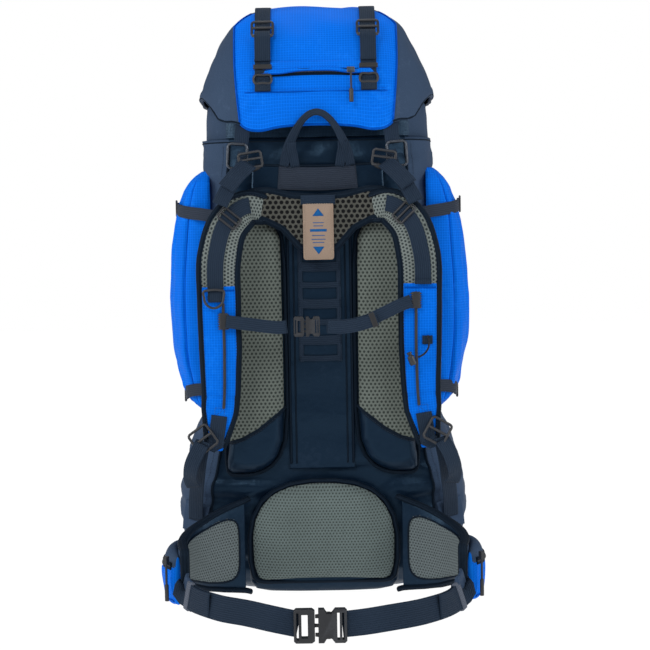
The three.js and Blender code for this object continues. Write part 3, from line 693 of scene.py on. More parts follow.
def keeperCord():
    # the elastic loop: a tube along its route, whose length is that of the route
    route = smoothLine(np.array(keeper["corners"]) * mm, 24)
    tube = piping("keeper_elastic", route, keeper["radius"] * mm, "cord", facing=(0, -1, 0.02), points=12)
    settle(tube, "harness", ["keeper_cord"])


keeperCord()
print("hardware and cord made")


# the bag, the snow collar and the lid
def lookup(table, at):
    # straight-line interpolation in a table of pairs
    positions, values = np.array(table, float).T
    return np.interp(at, positions, values)


def roundSection(halfWidth, halfDepth, squareness, seam, counts, frontSeam=None):
    # one ring of a squared ellipse, x/a and y/b to the power n summing to 1, cut at the seams into
    # rear, right, front
    # and left panels, each with its points at equal distances; it starts at the rear left seam
    frontSeam = seam if frontSeam is None else frontSeam

    def face(limit, towards, backwards):
        x = np.linspace(-1, 1, 60) * limit * (-1 if backwards else 1)
        y = towards * halfDepth * np.maximum(0, 1 - np.abs(x / halfWidth) ** squareness) ** (1 / squareness)
        return np.stack([x, y], axis=1)

    def flank(sign):
        low = np.arcsin(np.clip(1 - (seam / halfWidth) ** squareness, 0, 1) ** 0.5)
        high = np.arcsin(np.clip(1 - (frontSeam / halfWidth) ** squareness, 0, 1) ** 0.5)
        a = np.linspace(-1, 1, 121)
        a = np.where(a < 0, -low * np.abs(a) ** 2, high * a**2)
        x = sign * halfWidth * np.abs(np.cos(a)) ** (2 / squareness)
        y = halfDepth * curved(np.sin(a), 2 / squareness)
        return np.stack([x, y], axis=1)

    parts = [face(seam, -1, False), flank(1), face(frontSeam, 1, True), flank(-1)[::-1]]
    return np.concatenate([evenly(part, count + 1)[:-1] for part, count in zip(parts, counts)])


bagShape = {
    "halfWidth": [[0, 150], [6, 170], [14, 184], [40, 208], [90, 231], [120, 236], [150, 238], [180, 234],
                  [205, 227], [236, 219], [262, 208], [288, 197], [310, 191], [340, 190], [735, 188]],
    "halfDepth": [[0, 86], [6, 99], [14, 109], [40, 126], [90, 135], [620, 135], [735, 128]],
    "squareness": 4.5, "top": 735, "wall": 7.0, "seamShare": 0.755,
    "counts": (44, 26, 44, 26), "rings": 150,
}


def bagRing(z, inset=0.0, seam=None):
    # one ring of the bag at a height, drawn in by an inset
    width, depth = lookup(bagShape["halfWidth"], z) - inset, lookup(bagShape["halfDepth"], z) - inset
    edge = (seam if seam is not None else bagShape["seamShare"] * lookup(bagShape["halfWidth"], z))
    ring = roundSection(width, depth, bagShape["squareness"], min(edge, width * 0.97), bagShape["counts"])
    return np.concatenate([ring, np.full((len(ring), 1), z)], axis=1)


def bagSkin():
    # rings up the outside, over the rim and down the inside; the outside is rippled as slack cloth is
    heights = np.concatenate([np.linspace(0, 40, 14), np.linspace(46, bagShape["top"], bagShape["rings"])])
    outer = np.array([bagRing(z) for z in heights]) * mm
    normal = outer * [1, 1, 0] / np.array([0.19, 0.13, 1]) ** 2
    normal = unit(normal * [1, 1, 0])
    z = outer[..., 2]
    slack = np.clip((z - 0.01) / 0.06, 0, 1)
    upper = np.clip((z - 0.62) / 0.08, 0, 1)
    lower = np.clip((0.30 - z) / 0.1, 0, 1)
    tall = ripple(outer, 0.16, 4, stretch=(0.6, 0.6, 1.8)) * 0.0022
    wide = ripple(outer, 0.09, 9, stretch=(2.2, 1, 0.55)) * (0.0008 + 0.0034 * lower + 0.0020 * upper)
    covered = np.where((np.abs(outer[..., 0]) < 0.15) & (outer[..., 1] < 0),
        np.clip((z - 0.22) / 0.03, 0, 1)
                       * np.clip((0.66 - z) / 0.03, 0, 1), 0)
    low = np.clip((z - 0.03) / 0.05, 0, 1) * np.clip((0.235 - z) / 0.03, 0, 1) * (outer[..., 1] < 0)
    folds = np.sin((z + 0.10 * np.abs(outer[..., 0]) + 0.004
        * ripple(outer, 0.12, 15)) / 0.0058) * 0.0017 * low
    push = np.clip((tall + wide) * slack * (1 - covered) + folds, -0.0022, 0.0035)
    sunk = np.where(outer[..., 1] < 0, 1.0 * mm, 0)
    outer += normal * (push - sunk)[..., None]
    inner = np.array([bagRing(z, bagShape["wall"]) for z in np.linspace(bagShape["top"], 16, 40)]) * mm
    floor = inner[-1:] * [0.03, 0.03, 1]
    base = outer[:1] * [0.03, 0.03, 0]
    grid = np.concatenate([base, outer[:1] * [0.97, 0.97, 0], outer, inner, floor])
    rear = bagShape["counts"][0]
    zones = np.ones((len(grid) - 1, grid.shape[1]), int)
    zones[:, :rear] = 0
    zones[len(outer) + 1:] = 2
    piece = surface("bag_shell", grid, ["navyNylon", "slateNylon", "navyLining"],
                    zones=zones, start=rear // 2)
    settle(piece, "pack", ["main_bag"])
    for name, column in (("left", 0), ("right", rear)):
        line = outer[6:-2, column] + normal[6:-2, column] * 0.0012
        settle(piping("bag_seam_piping_" + name, evenly(line, step=0.006), 1.9 * mm, "binding"), "pack")
        beside = outer[6:-2, column + (-1 if name == "left" else 1)] + normal[6:-2, column] * 0.0004
        settle(stitches("bag_seam_stitches_" + name, beside, (0, -1, 0.01), "thread"), "pack")
    hem = outer[-2] - normal[-2] * 0.0004
    settle(piping("bag_rim_tape", hem, 1.3 * mm, "binding", facing=(0, 0, 1), closed=True), "pack")


bagSkin()

collarShape = {
    "halfWidth": [[735, 184], [790, 182], [812, 166], [830, 128], [842, 84]],
    "halfDepth": [[735, 124], [790, 122], [812, 110], [830, 84], [842, 58]],
    "squareness": 3, "bottom": 736, "mouth": 842, "wall": 3.2, "folds": 22,
}


def snowCollar():
    # a gathered sleeve: the radius is rippled by folds that deepen towards its drawn mouth
    shape = collarShape
    heights = np.linspace(shape["bottom"], shape["mouth"], 46)
    a = np.linspace(0, 2 * np.pi, 300, endpoint=False)

    def rings(inset):
        z = heights[:, None]
        deep = np.clip((z - 770) / 60, 0, 1) ** 1.5
        fold = 1 - deep * 0.045 * (1 - np.cos(a * shape["folds"] + 0.7 * np.sin(3 * a) + 0.4
            * np.sin(z / 14)))
        power = 2 / shape["squareness"]
        width, depth = lookup(shape["halfWidth"], z) - inset, lookup(shape["halfDepth"], z) - inset
        return np.stack([curved(np.cos(a), power) * width * fold, curved(np.sin(a), power) * depth * fold,
                         np.broadcast_to(z, (len(heights), len(a)))], axis=2)

    grid = np.concatenate([rings(0), rings(shape["wall"])[::-1]]) * mm
    grid[..., :2] += ripple(grid, 0.07, 3)[..., None] * 0.0006
    side = (np.abs(grid[..., 0]) > 0.147) & (grid[..., 2] < 0.812)
    side[len(heights):] = False
    piece = surface("snow_collar_sleeve", grid, ["navyRipstop", "slateNylon"], along=True, zones=side)
    settle(piece, "pack", ["snow_collar"])
    hem = evenly(np.concatenate([grid[43], grid[43][:1]]), 160)[:-1] * [1.012, 1.012, 1]
    settle(piping("collar_hem", hem, 3.0 * mm, "navyRipstop", facing=(0, 0, 1), closed=True), "pack")


snowCollar()
print("bag and collar made")

lidShape = {
    "halfWidth": 191, "halfDepth": 166, "squareness": 4, "hemTop": 815,
    "outer": [[0.02, 952], [0.22, 951.5], [0.43, 949], [0.6, 939], [0.73, 920.5], [0.81, 898], [0.88, 870],
              [0.945, 840], [0.985, 815], [1, 785], [1, 748]],
    "inner": [[0.965, 748], [0.955, 785], [0.93, 815], [0.87, 838], [0.75, 856], [0.5, 861], [0.02, 861]],
    "seam": [[740, 120], [785, 124], [850, 129], [920, 131], [956, 134]],
    "counts": (64, 30, 64, 30), "sideHem": 0.3, "frontHem": 0.8,
}


def lidHem(height, towardsFront):
    # the hem hangs lowest at the rear and rises at the sides; above the hem line nothing moves
    reach = lidShape["sideHem"] + (np.where(towardsFront < 0, 1, lidShape["frontHem"])
        - lidShape["sideHem"]) \
        * np.minimum(1, np.abs(towardsFront) ** 3 * 2.2)
    lifted = lidShape["hemTop"] - (lidShape["hemTop"] - height) * reach
    return np.where(height >= lidShape["hemTop"], height, lifted)


def hemBow(ring, height):
    # the rear hem is bowed: a little higher in the middle of the panel and lower towards its two corners
    low = max(0.0, (lidShape["hemTop"] - height) / 67)
    rear = np.clip(-ring[:, 1] / 100, 0, 1) ** 3
    x = np.abs(ring[:, 0])
    return rear * low * (4 * np.exp(-(x / 60) ** 2) - 5 * np.exp(-((x - 90) / 22) ** 2) + 11
        * np.clip((x - 104) / 20, 0, 1) ** 2)


def lidRing(share, height):
    # a squared-ellipse ring of the lid at one point of its profile, cut at the panel seams
    width, depth = lidShape["halfWidth"] * share, lidShape["halfDepth"] * share
    seam = min(lookup(lidShape["seam"], height), 0.92 * width)
    ring = roundSection(width, depth, lidShape["squareness"], seam, lidShape["counts"])
    across = np.hypot(curved(ring[:, 0] / width, 2), curved(ring[:, 1] / depth, 2))
    front = curved(ring[:, 1] / depth, 2) / np.maximum(across, 1e-6)
    return np.concatenate([ring, (lidHem(height, front) + hemBow(ring, height))[:, None]], axis=1)


def lidRear(x, z, lift=0.0):
    # the point of the lid's rear face at x and z, in metres, lifted off it by a distance
    x, z = np.broadcast_arrays(np.asarray(x, float) * 1000, np.asarray(z, float) * 1000)
    share = lookup([[height, k] for k, height in lidShape["outer"][::-1]], z)
    inside = np.maximum(0.02, 1 - np.abs(x / (lidShape["halfWidth"] * share)) ** lidShape["squareness"])
    y = -lidShape["halfDepth"] * share * inside ** 0.25
    return np.stack([x, y - lift * 1000, z], axis=-1) * mm


def lidSkin():
    # profile rings from the crown out to the hem and back under it; the outside is rippled and its
    # panels crowned
    outer = smoothLine(np.array(lidShape["outer"]) * [lidShape["halfWidth"], 1],
        70) / [lidShape["halfWidth"], 1]
    inner = smoothLine(np.array(lidShape["inner"]) * [lidShape["halfWidth"], 1],
        40) / [lidShape["halfWidth"], 1]
    skin = np.array([lidRing(*p) for p in outer]) * mm
    lining = np.array([lidRing(*p) for p in inner]) * mm
    along, around = np.gradient(skin, axis=0), np.gradient(np.concatenate([skin, skin[:, :1]], axis=1),
        axis=1)[:, :-1]
    normal = unit(np.cross(around, along))
    normal *= np.sign((normal * (skin - [0, 0, 0.84])).sum(axis=-1, keepdims=True))
    z, x = skin[..., 2], skin[..., 0]
    slack = np.clip((z - 0.752) / 0.03, 0, 1)
    push = ripple(skin, 0.12, 12) * 0.0016 + ripple(skin, 0.055, 21, stretch=(1.6, 1, 0.8)) * 0.0010
    corner = np.abs(x) - (0.112 - (0.80 - z) * 0.55)
    folds = np.exp(-(corner / 0.020) ** 2) * np.sin((np.abs(x) + z * 1.5) / 0.0070) * np.clip((0.85
        - z) / 0.05, 0, 1)
    counts = np.cumsum((0,) + lidShape["counts"])
    columns = np.arange(skin.shape[1])[None]
    seamGap = np.min([np.abs(columns - c) for c in (*counts,)], axis=0)
    crown = 1 - np.exp(-(seamGap / 2.2) ** 2)
    skin = skin + normal * ((push + folds * 0.0026) * slack * crown - 0.0016 * (1 - crown) - 0.001)[...,
        None]
    grid = np.concatenate([skin, lining])
    zones = np.zeros((len(grid) - 1, grid.shape[1]), int)
    zones[:, counts[1]:counts[2]] = 1
    zones[:, counts[3]:counts[4]] = 1
    zones[len(skin):] = 2
    piece = surface("lid_shell", grid, ["blueRipstop", "slateNylon", "navyLining"],
                    zones=zones, start=counts[1] // 2)
    settle(piece, "lid", ["lid"])
    for name, column in zip(("rear_left", "rear_right", "front_right", "front_left"), counts[:4]):
        first = int(np.argmax(np.abs(skin[:, column, 0]) > 0.10))
        line = evenly(skin[first:-1, column] + normal[first:-1, column] * 0.0012, step=0.005)
        facing = (0, -1 if "rear" in name else 1, 0.3)
        settle(piping("lid_seam_" + name, line, 1.3 * mm, "blueSeam", facing=facing), "lid")
    ends = list(counts[:4]) + [skin.shape[1]]
    for k, (panel, look) in enumerate((("rear", "blueSeam"), ("right", "binding"), ("front", "blueSeam"),
            ("left", "binding"))):
        at = np.arange(ends[k], ends[k + 1] + 1) % skin.shape[1]
        hem = evenly(skin[-1, at] * [0.992, 0.992, 1] + [0, 0, 0.002], step=0.005)
        settle(piping("lid_hem_" + panel, hem, 2.2 * mm, look, facing=(0, 0, 1)), "lid")


lidSkin()
print("lid made")


# the lid's straps, zip and hardware
lidStrap = {"x": 83, "climb": (806, 826, 850, 880, 905, 919),
            "crown": ((-95, 943), (-70, 947), (0, 950.5), (62, 948))}


def lidStraps():
    # over the crown and down the rear face: webbing, folded tail, keeper, ring and sewn end
    for name, sign in bothSides:
        x = sign * lidStrap["x"] * mm
        lifts = np.interp(lidStrap["climb"], [840, 885, 922], [2.2, 4.0, 5.0])
        climb = [lidRear(x, z * mm, lift * mm) for z, lift in zip(lidStrap["climb"], lifts)]
        crown = [[x, y * mm, z * mm] for y, z in lidStrap["crown"]]
        line = smoothLine(climb + crown, step=0.004)
        parts = [surface("strap", sweep(line, rounded(25 * mm, 1.9 * mm, 20, 5), (0, -1, 1)), "webbing")]
        tail = [lidRear(x, z * mm, lift * mm) for z, lift in ((902, 13), (893, 14.5), (880, 11),
            (866, 7.5), (854, 6))]
        parts.append(strap("tail", tail, 25 * mm, "webbing"))
        fold = [lidRear(x, 0.8545, 0.0055), lidRear(x, 0.8565, 0.0072)]
        parts.append(strap("fold", [fold[0], (fold[0] + fold[1]) / 2, fold[1]], 26 * mm, "webbing",
            3.6 * mm, step=0.0006))
        piece = joinPieces("lid_webbing_" + name, parts)
        settle(piece, "lid", ["lid_strap_" + name])
        keeper = [lidRear(x, z, 0.0058) for z in (0.8415, 0.8445, 0.8475)]
        settle(strap("lid_keeper_" + name, keeper, 29 * mm, "rubber", 5.0 * mm, step=0.002), "lid")
        middle = lidRear(x, 0.825, 0.0052)
        loop = np.array([[-12.5, 5.5], [-14, 0], [-12.5, -5.5], [0, -6.5], [12.5, -5.5], [14, 0],
            [12.5, 5.5], [0, 6.5]]) * mm
        tilt = unit(lidRear(x, 0.835) - lidRear(x, 0.815))
        ring = middle + loop[:, :1] * np.array([1, 0, 0]) + loop[:, 1:] * tilt
        settle(piping("lid_ring_" + name, closedLoop(ring, 48), 2.0 * mm, "plastic", closed=True), "lid")
        end = [lidRear(x, z, 0.0042) for z in (0.8065, 0.814, 0.8225)]
        settle(strap("lid_strap_end_" + name, end, 25 * mm, "webbing", 3.4 * mm, step=0.003), "lid")
        box = np.array([[-10, 0.8085], [10, 0.8085], [10, 0.8185], [-10, 0.8185], [-10, 0.8085],
            [10, 0.8185]]) * [mm, 1]
        trace = np.array([lidRear(x + dx, z, 0.0061) for dx, z in evenly(box, 60)])
        settle(stitches("lid_strap_stitches_" + name, trace, (0, -1, 0), "thread", 2.2 * mm, 1.0 * mm),
            "lid")


lidStraps()

lidFlap = {"half": 96, "seam": 833, "bulge": 8.5, "bulgeHalf": 44, "lowSeam": 805, "lowHalf": 112}


def lidZipFlap():
    # a folded flap over the zip: its lower edge is lifted off the face and bulges upwards in the middle
    x = np.linspace(-1, 1, 90)[:, None] * lidFlap["half"] * mm
    bulge = lidFlap["bulge"] * mm * np.exp(-(x / (lidFlap["bulgeHalf"] * mm)) ** 4)
    down = np.linspace(0, 1, 12)[None]
    z = lidFlap["seam"] * mm + 0.021 - (0.021 - bulge * 0.55) * down
    lift = 0.0005 + 0.0032 * down ** 0.6 + 0.0016 * down * np.sin(x / 0.011) * 0.35
    top = lidRear(np.broadcast_to(x, z.shape), z, lift)
    under = lidRear(np.broadcast_to(x, z.shape), z, lift - 0.0016 * np.sin(down * np.pi / 2) - 0.0002)
    piece = surface("lid_zip_flap", np.concatenate([top, under[:, ::-1]], axis=1), "blueRipstop")
    settle(piece, "lid")
    rim = top[:, -1] + [0, 0.0002, 0]
    settle(piping("lid_flap_edge", evenly(rim, step=0.004), 1.0 * mm, "blueSeam"), "lid")
    settle(stitches("lid_flap_stitches", top[:, 7] + [0, -0.0002, 0], (0, -1, 0), "blueThread", 3 * mm,
        1.4 * mm), "lid")
    tape = np.stack([lidRear(x[:, 0], 0.8395 + 0.35 * bulge[:, 0], 0.0012),
        lidRear(x[:, 0], 0.8300, 0.0012)], axis=1)
    line = tape.mean(axis=1)
    settle(surface("lid_zip_tape", sweep(line, rounded(11 * mm, 1.2 * mm, 12, 4), (0, -1, 0)),
        "navyLining"),
           "lid")
    settle(stitches("lid_zip_teeth", line + [0, -0.0008, 0], (0, -1, 0), "plastic", 1.5 * mm, 0.7 * mm,
        1.3 * mm), "lid")
    span, height = np.linspace(-1, 1, 80) * lidFlap["lowHalf"] * mm, lidFlap["lowSeam"] * mm
    seam = evenly(lidRear(span, height, 0.0004), step=0.005)
    settle(piping("lid_seam_low", seam, 0.8 * mm, "blueSeam"), "lid")
    trace = lidRear(span, height + 0.004, 0.0008)
    settle(stitches("lid_seam_stitches_low", trace, (0, -1, 0), "blueThread", 3 * mm, 1.4 * mm), "lid")


lidZipFlap()


def roundedOutline(width, height, radius, centre, count):
    # a rounded rectangle walked round at equal distances, from its arcs
    a = np.linspace(0, np.pi / 2, 12)
    corners = [(1, 1, 0), (-1, 1, 1), (-1, -1, 2), (1, -1, 3)]
    parts = [np.stack([centre[0] + sx * (width / 2 - radius) + radius * np.cos(a + k * np.pi / 2),
                       centre[1] + sz * (height / 2 - radius) + radius * np.sin(a + k * np.pi / 2)],
                       axis=1) for sx, sz, k in corners]
    ring = np.concatenate(parts)
    return evenly(np.concatenate([ring, ring[:1]]), count + 1)[:-1]


# each ladder lock: node, middle, roll and lean in radians, width and height, and whether it has a tongue
ladderLocks = [
    ("lid_ladder_lock_left", (-83, None, 906), 0.0, 0.0, 33, 27, True),
    ("lid_ladder_lock_right", (83, None, 906), 0.0, 0.0, 33, 27, True),
    ("lifter_buckle_left", (-104, -179, 699), 0.16, -0.25, 35, 24, True),
    ("lifter_buckle_right", (104, -179, 699), -0.16, -0.25, 35, 24, True),
    ("ladder_lock_left", (-186, -199, 265), 0.62, 0.15, 34, 36, False),
    ("ladder_lock_right", (181, -202, 272), -0.52, 0.15, 34, 36, False),
]


def ladderLockPieces():
    # a rounded frame with one or two bars; where there is a tongue, it is a half round below the lower bar
    for node, middle, roll, lean, width, height, tongue in ladderLocks:
        centre = np.array([v or 0 for v in middle], float) * mm
        if middle[1] is None:
            centre = lidRear(centre[0], centre[2], 0.0115)
            lean = float(np.arctan2(*(lidRear(centre[0], 0.918) - lidRear(centre[0], 0.894))[1:]))
        across = np.array([np.cos(roll), 0, np.sin(roll)])
        up = np.array([-np.sin(roll) * np.cos(lean), np.sin(lean), np.cos(roll) * np.cos(lean)])
        facing = tuple(np.cross(up, across) * -1)
        ring = roundedOutline(width, height, 4, (0, 0), 56) * mm
        parts = [piping("frame", centre + ring[:, :1] * across + ring[:, 1:] * up, 2.1 * mm, "plastic",
            facing=facing,
                        closed=True)]
        span = np.linspace(-0.5, 0.5, 10)[:, None] * width * mm * across
        for share in (0.06, -0.5) if tongue else (0.02,):
            parts.append(piping("bar", centre + span + up * height * share * mm, 2.2 * mm, "plastic",
                facing=facing))
        if tongue:
            a = np.linspace(np.pi, 2 * np.pi, 24)
            rim = np.stack([np.cos(a) * width * 0.46, np.sin(a) * height * 0.36 - height * 0.42],
                axis=1) * mm
            outer = centre + rim[:, :1] * across + rim[:, 1:] * up
            middleLine = centre + rim[:, :1] * across - up * height * 0.42 * mm
            front = np.cross(across, up)
            front = front * np.sign(-front[1])
            sheet = np.stack([middleLine + front * 0.0016, outer + front * 0.0012, outer - front * 0.0012,
                middleLine - front * 0.0016],
                             axis=1)
            parts.append(surface("tongue", sheet, "plastic"))
        piece = joinPieces(node + "_frame", parts)
        settle(piece, bodyOf(node), [node])


ladderLockPieces()
print("ladder locks made")


# the pockets on the bag's sides and front
sidePocket = {
    "bottom": 290, "top": 686, "inner": 174, "radius": 491, "arcCentre": (-242, 470), "centreY": -10,
    "halfDepth": 105,
    "rings": 130, "points": 96, "seams": (0.15, 0.85),
    "reach": [[290, 194], [300, 205], [312, 219], [337, 232], [370, 240], [400, 245], [440, 248],
    [480, 249], [520, 247],
              [564, 242], [600, 237], [632, 230], [655, 220], [671, 209], [681, 200], [686, 193]],
}


def pocketReach(z):
    # how far out the pocket stands at a height, in mm
    return np.interp(z, *zip(*sidePocket["reach"]))


def pocketPoint(z, y, lift=0.0):
    # how far out the pocket's skin is at a height and a depth: the reach shrinks towards its front
    # and rear edges
    u = np.clip(np.abs(y - sidePocket["centreY"]) / sidePocket["halfDepth"], 0, 0.995) ** (1 / 0.75)
    return sidePocket["inner"] + (pocketReach(z) - sidePocket["inner"]) * (1 - u**2) ** 0.31 + lift


def sidePocketShells():
    # a bellows pocket: half a squared ellipse in section, puffed between its sewn seams and dipping
    # at its zip
    shape = sidePocket
    v = np.linspace(0, 1, shape["rings"])[:, None]
    z = shape["bottom"] + v * (shape["top"] - shape["bottom"])
    arc = shape["arcCentre"][0] + np.sqrt(shape["radius"] ** 2 - (z - shape["arcCentre"][1]) ** 2)
    a = np.linspace(-np.pi / 2, np.pi / 2, shape["points"])[None]
    ends = np.minimum(1, 0.80 + 1.3 * np.sin(v * np.pi))
    u = np.linspace(0, 1, shape["points"])[None]
    y = shape["centreY"] + curved(np.sin(a), 0.75) * shape["halfDepth"] * ends
    outline = pocketReach(z)
    dip = np.minimum(0, arc - 0.5 - outline) * np.exp(-((y - shape["centreY"]) / 22) ** 2)
    seams = sum(np.exp(-((u - at) / 0.010) ** 2) for at in shape["seams"])
    for name, sign in bothSides:
        x = shape["inner"] + (outline + dip - shape["inner"]) * np.abs(np.cos(a)) ** 0.62
        grid = np.stack([x * sign, y, np.broadcast_to(z, x.shape)], axis=2) * mm
        out = unit(np.stack([np.cos(a) * sign + 0 * v, np.sin(a) + 0 * v, 0 * (a + v)], axis=2))
        gathers = np.sin((u * 9 + 0.8 * np.sin(v * 5)) * 2 * np.pi) * (np.exp(-v / 0.12) + 0.8
            * np.exp(-(1 - v) / 0.10))
        slack = ripple(grid, 0.085, 31, stretch=(1, 0.5, 2.6)) * 0.0020 + ripple(grid, 0.040, 37,
            stretch=(1, 0.5, 2.4)) * 0.0013
        free = np.cos(a) ** 0.5 * (1 - seams) * np.clip(np.minimum(v, 1 - v) / 0.05, 0, 1)
        grid = grid + out * ((slack + 0.0026 * gathers) * free - 0.0040 * seams
            * (np.minimum(v, 1 - v) > 0.02) - 0.0015)[..., None]
        grid[..., 0] = sign * np.minimum(np.abs(grid[..., 0]), 0.2505)
        piece = surface("side_pocket_shell_" + name, grid, "blueRipstop")
        settle(piece, "pack", ["side_pocket_" + name])
        for where, share in zip(("rear", "front"), shape["seams"]):
            column = int(round(share * (shape["points"] - 1)))
            line = evenly(grid[5:-5, column] + out[5:-5, column] * 0.0008, step=0.005)
            settle(piping(f"side_pocket_piping_{where}_{name}", line, 1.1 * mm, "blueSeam",
                facing=(sign, 0, 0)),
                   "pack")
        middle = shape["points"] // 2
        line = evenly(grid[12:-12, middle] + [sign * 0.0006, 0, 0], step=0.004)
        tape = surface("side_zip_tape_" + name, sweep(line, rounded(20 * mm, 1.6 * mm, 16, 4),
            (sign, 0, 0)),
                       "navyLining")
        settle(tape, "pack")
        settle(stitches("side_zip_teeth_" + name, line + [sign * 0.0012, 0, 0], (sign, 0, 0), "plastic",
            1.7 * mm,
                        0.8 * mm, 1.7 * mm), "pack")


sidePocketShells()

frontPocket = {"width": 268, "height": 498, "radius": 48, "centre": (0, 375), "back": 136, "count": 180}


def frontPocketShell():
    # rings that shrink from the back edge over a rounded rim to the crowned face
    shape = frontPocket
    outline = roundedOutline(shape["width"], shape["height"], shape["radius"], (0, 0), shape["count"])
    profile = np.array([[1, 0], [1, 8], [1, 16], [0.997, 24], [0.985, 31], [0.963, 37], [0.93, 41],
        [0.88, 43.5], [0.80, 44.6],
                                [0.7, 45.2], [0.6, 45.7], [0.5, 46.1], [0.4, 46.3], [0.3, 46.5],
                                [0.2, 46.6], [0.1, 46.7], [0.02, 46.7]])
    profile = evenly(profile * [130, 1], 60) / [130, 1]
    grid = np.array([np.stack([outline[:, 0] * k, np.full(len(outline), shape["back"] + d),
                               shape["centre"][1] + outline[:, 1] * k], axis=1) for k, d in profile]) * mm
    grid[..., 1] += (ripple(grid, 0.13, 41, stretch=(1, 1, 1.6)) * 0.0016
        - 0.001) * np.clip((grid[..., 1] - 0.15) / 0.03, 0, 1)
    back = grid[:1] * [0.02, 1, 1]
    back[..., 2] = shape["centre"][1] * mm + (grid[:1, :, 2] - shape["centre"][1] * mm) * 0.02
    piece = surface("front_pocket_shell", np.concatenate([back, grid]), "blueRipstop")
    settle(piece, "pack", ["front_pocket"])
    rim = evenly(np.concatenate([grid[18], grid[18][:1]]), 300)[:-1]
    settle(piping("front_pocket_piping", rim, 2.0 * mm, "binding", facing=(0, 1, 0), closed=True), "pack")
    arch = smoothLine(np.array([[-104, 0, 300], [-104, 0, 470], [-92, 0, 540], [-50, 0, 575], [0, 0, 583],
        [50, 0, 575], [92, 0, 540],
                                [104, 0, 470], [104, 0, 300]]) * mm, step=0.004) + [0, 0.1825, 0]
    settle(surface("front_zip_tape", sweep(arch, rounded(16 * mm, 1.6 * mm, 12, 4), (0, 1, 0)),
        "navyLining"),
           "pack")
    settle(stitches("front_zip_teeth", arch + [0, 0.001, 0], (0, 1, 0), "plastic", 1.7 * mm, 0.8 * mm,
        1.6 * mm), "pack")


frontPocketShell()
print("pockets made")


# the padded back
def edgePad(first, second, thickness, facing, points=48, squareness=3.2, back=0.35):
    # a padded form between two edge lines: a squared ellipse from edge to edge, full on its face and
    # flatter behind
    first, second = np.asarray(first, float), np.asarray(second, float)
    a = np.linspace(0, 2 * np.pi, points, endpoint=False)
    across, out = curved(np.cos(a), 2 / squareness), curved(np.sin(a), 2 / 2.4)
    out = np.where(out < 0, out * back, out)
    middle, half = (first + second) / 2, (second - first) / 2
    facing = unit(np.broadcast_to(np.array(facing, float), first.shape))
    depth = np.broadcast_to(np.asarray(thickness, float), (len(first),))
    return middle[:, None] + half[:, None] * across[None, :, None] + facing[:,
        None] * (out[None] * depth[:, None])[..., None]


def puffed(piece, cap, pressure=4.0, voxel=0.005, limit=None):
    # the shape is remeshed evenly and blown up as cloth; no point moves further than the cap
    bpy.context.view_layer.objects.active = piece
    bpy.ops.object.select_all(action="DESELECT")
    piece.select_set(True)
    even = piece.modifiers.new("even", "REMESH")
    even.mode, even.voxel_size, even.use_smooth_shade = "VOXEL", voxel, True
    bpy.ops.object.modifier_apply(modifier="even")
    rest = np.array([v.co for v in piece.data.vertices])
    cloth = piece.modifiers.new("cloth", "CLOTH")
    cloth.settings.quality, cloth.settings.mass = 5, 0.3
    cloth.settings.use_pressure, cloth.settings.uniform_pressure_force = True, pressure
    cloth.settings.tension_stiffness = cloth.settings.compression_stiffness = 15
    cloth.settings.bending_stiffness = 0.5
    cloth.settings.effector_weights.gravity = 0
    cloth.point_cache.frame_start, cloth.point_cache.frame_end = 1, 20
    for step in range(1, 21):
        bpy.context.scene.frame_set(step)
    bpy.ops.object.modifier_apply(modifier="cloth")
    bpy.context.scene.frame_set(1)
    blown = np.array([v.co for v in piece.data.vertices])
    move = blown - rest
    size = np.linalg.norm(move, axis=1, keepdims=True)
    blown = rest + move * np.minimum(1, cap / np.maximum(size, 1e-9))
    if limit:
        blown = limit(blown)
    piece.data.vertices.foreach_set("co", blown.astype(np.float32).ravel())
    piece.data.update()
    finer = piece.modifiers.new("finer", "SUBSURF")
    finer.levels = finer.render_levels = 1
    bpy.ops.object.modifier_apply(modifier="finer")
    piece.data.polygons.foreach_set("use_smooth", np.ones(len(piece.data.polygons), bool))
    return piece


def paintFaces(piece, looks, choose):
    # each face takes the finish that choose gives for its middle
    mesh = piece.data
    mesh.materials.clear()
    for look in looks:
        mesh.materials.append(finish[look])
    middles = np.zeros(len(mesh.polygons) * 3)
    mesh.polygons.foreach_get("center", middles)
    mesh.polygons.foreach_set("material_index", choose(middles.reshape(-1, 3)).astype(np.int32))
    mesh.update()


backPad = {
    "inner": [[197, 130], [198, 112], [202, 97], [210, 83], [226, 69], [252, 59], [300, 55], [420, 55],
    [540, 56], [580, 60],
              [598, 70], [605, 92]],
    "outer": [[197, 138], [198, 146], [202, 151], [212, 153], [226, 154], [270, 153], [350, 150],
    [430, 149], [530, 138],
              [570, 127], [598, 109], [605, 92]],
    "thickness": 17, "meshLow": [[52, 314], [70, 296], [100, 272], [125, 258], [152, 250]],
}


def padEdges(shape, sign, count=110):
    # the inner and outer edge lines of a pad; its rows crowd towards the ends by a sine
    ends = np.sin((np.linspace(0, 1, count) - 0.5) * np.pi) * 0.5 + 0.5
    z = shape["inner"][0][0] + ends * (shape["inner"][-1][0] - shape["inner"][0][0])
    lines = []
    for key in ("inner", "outer"):
        x = lookup(shape[key], z)
        lines.append(np.stack([sign * x, np.zeros_like(x), z], axis=1) * mm)
    return lines[0], lines[1], ends


def meshLow(x):
    # the height of the back pad's lower mesh edge at a distance from the middle, in metres
    return lookup(backPad["meshLow"], np.abs(x) * 1000) * mm


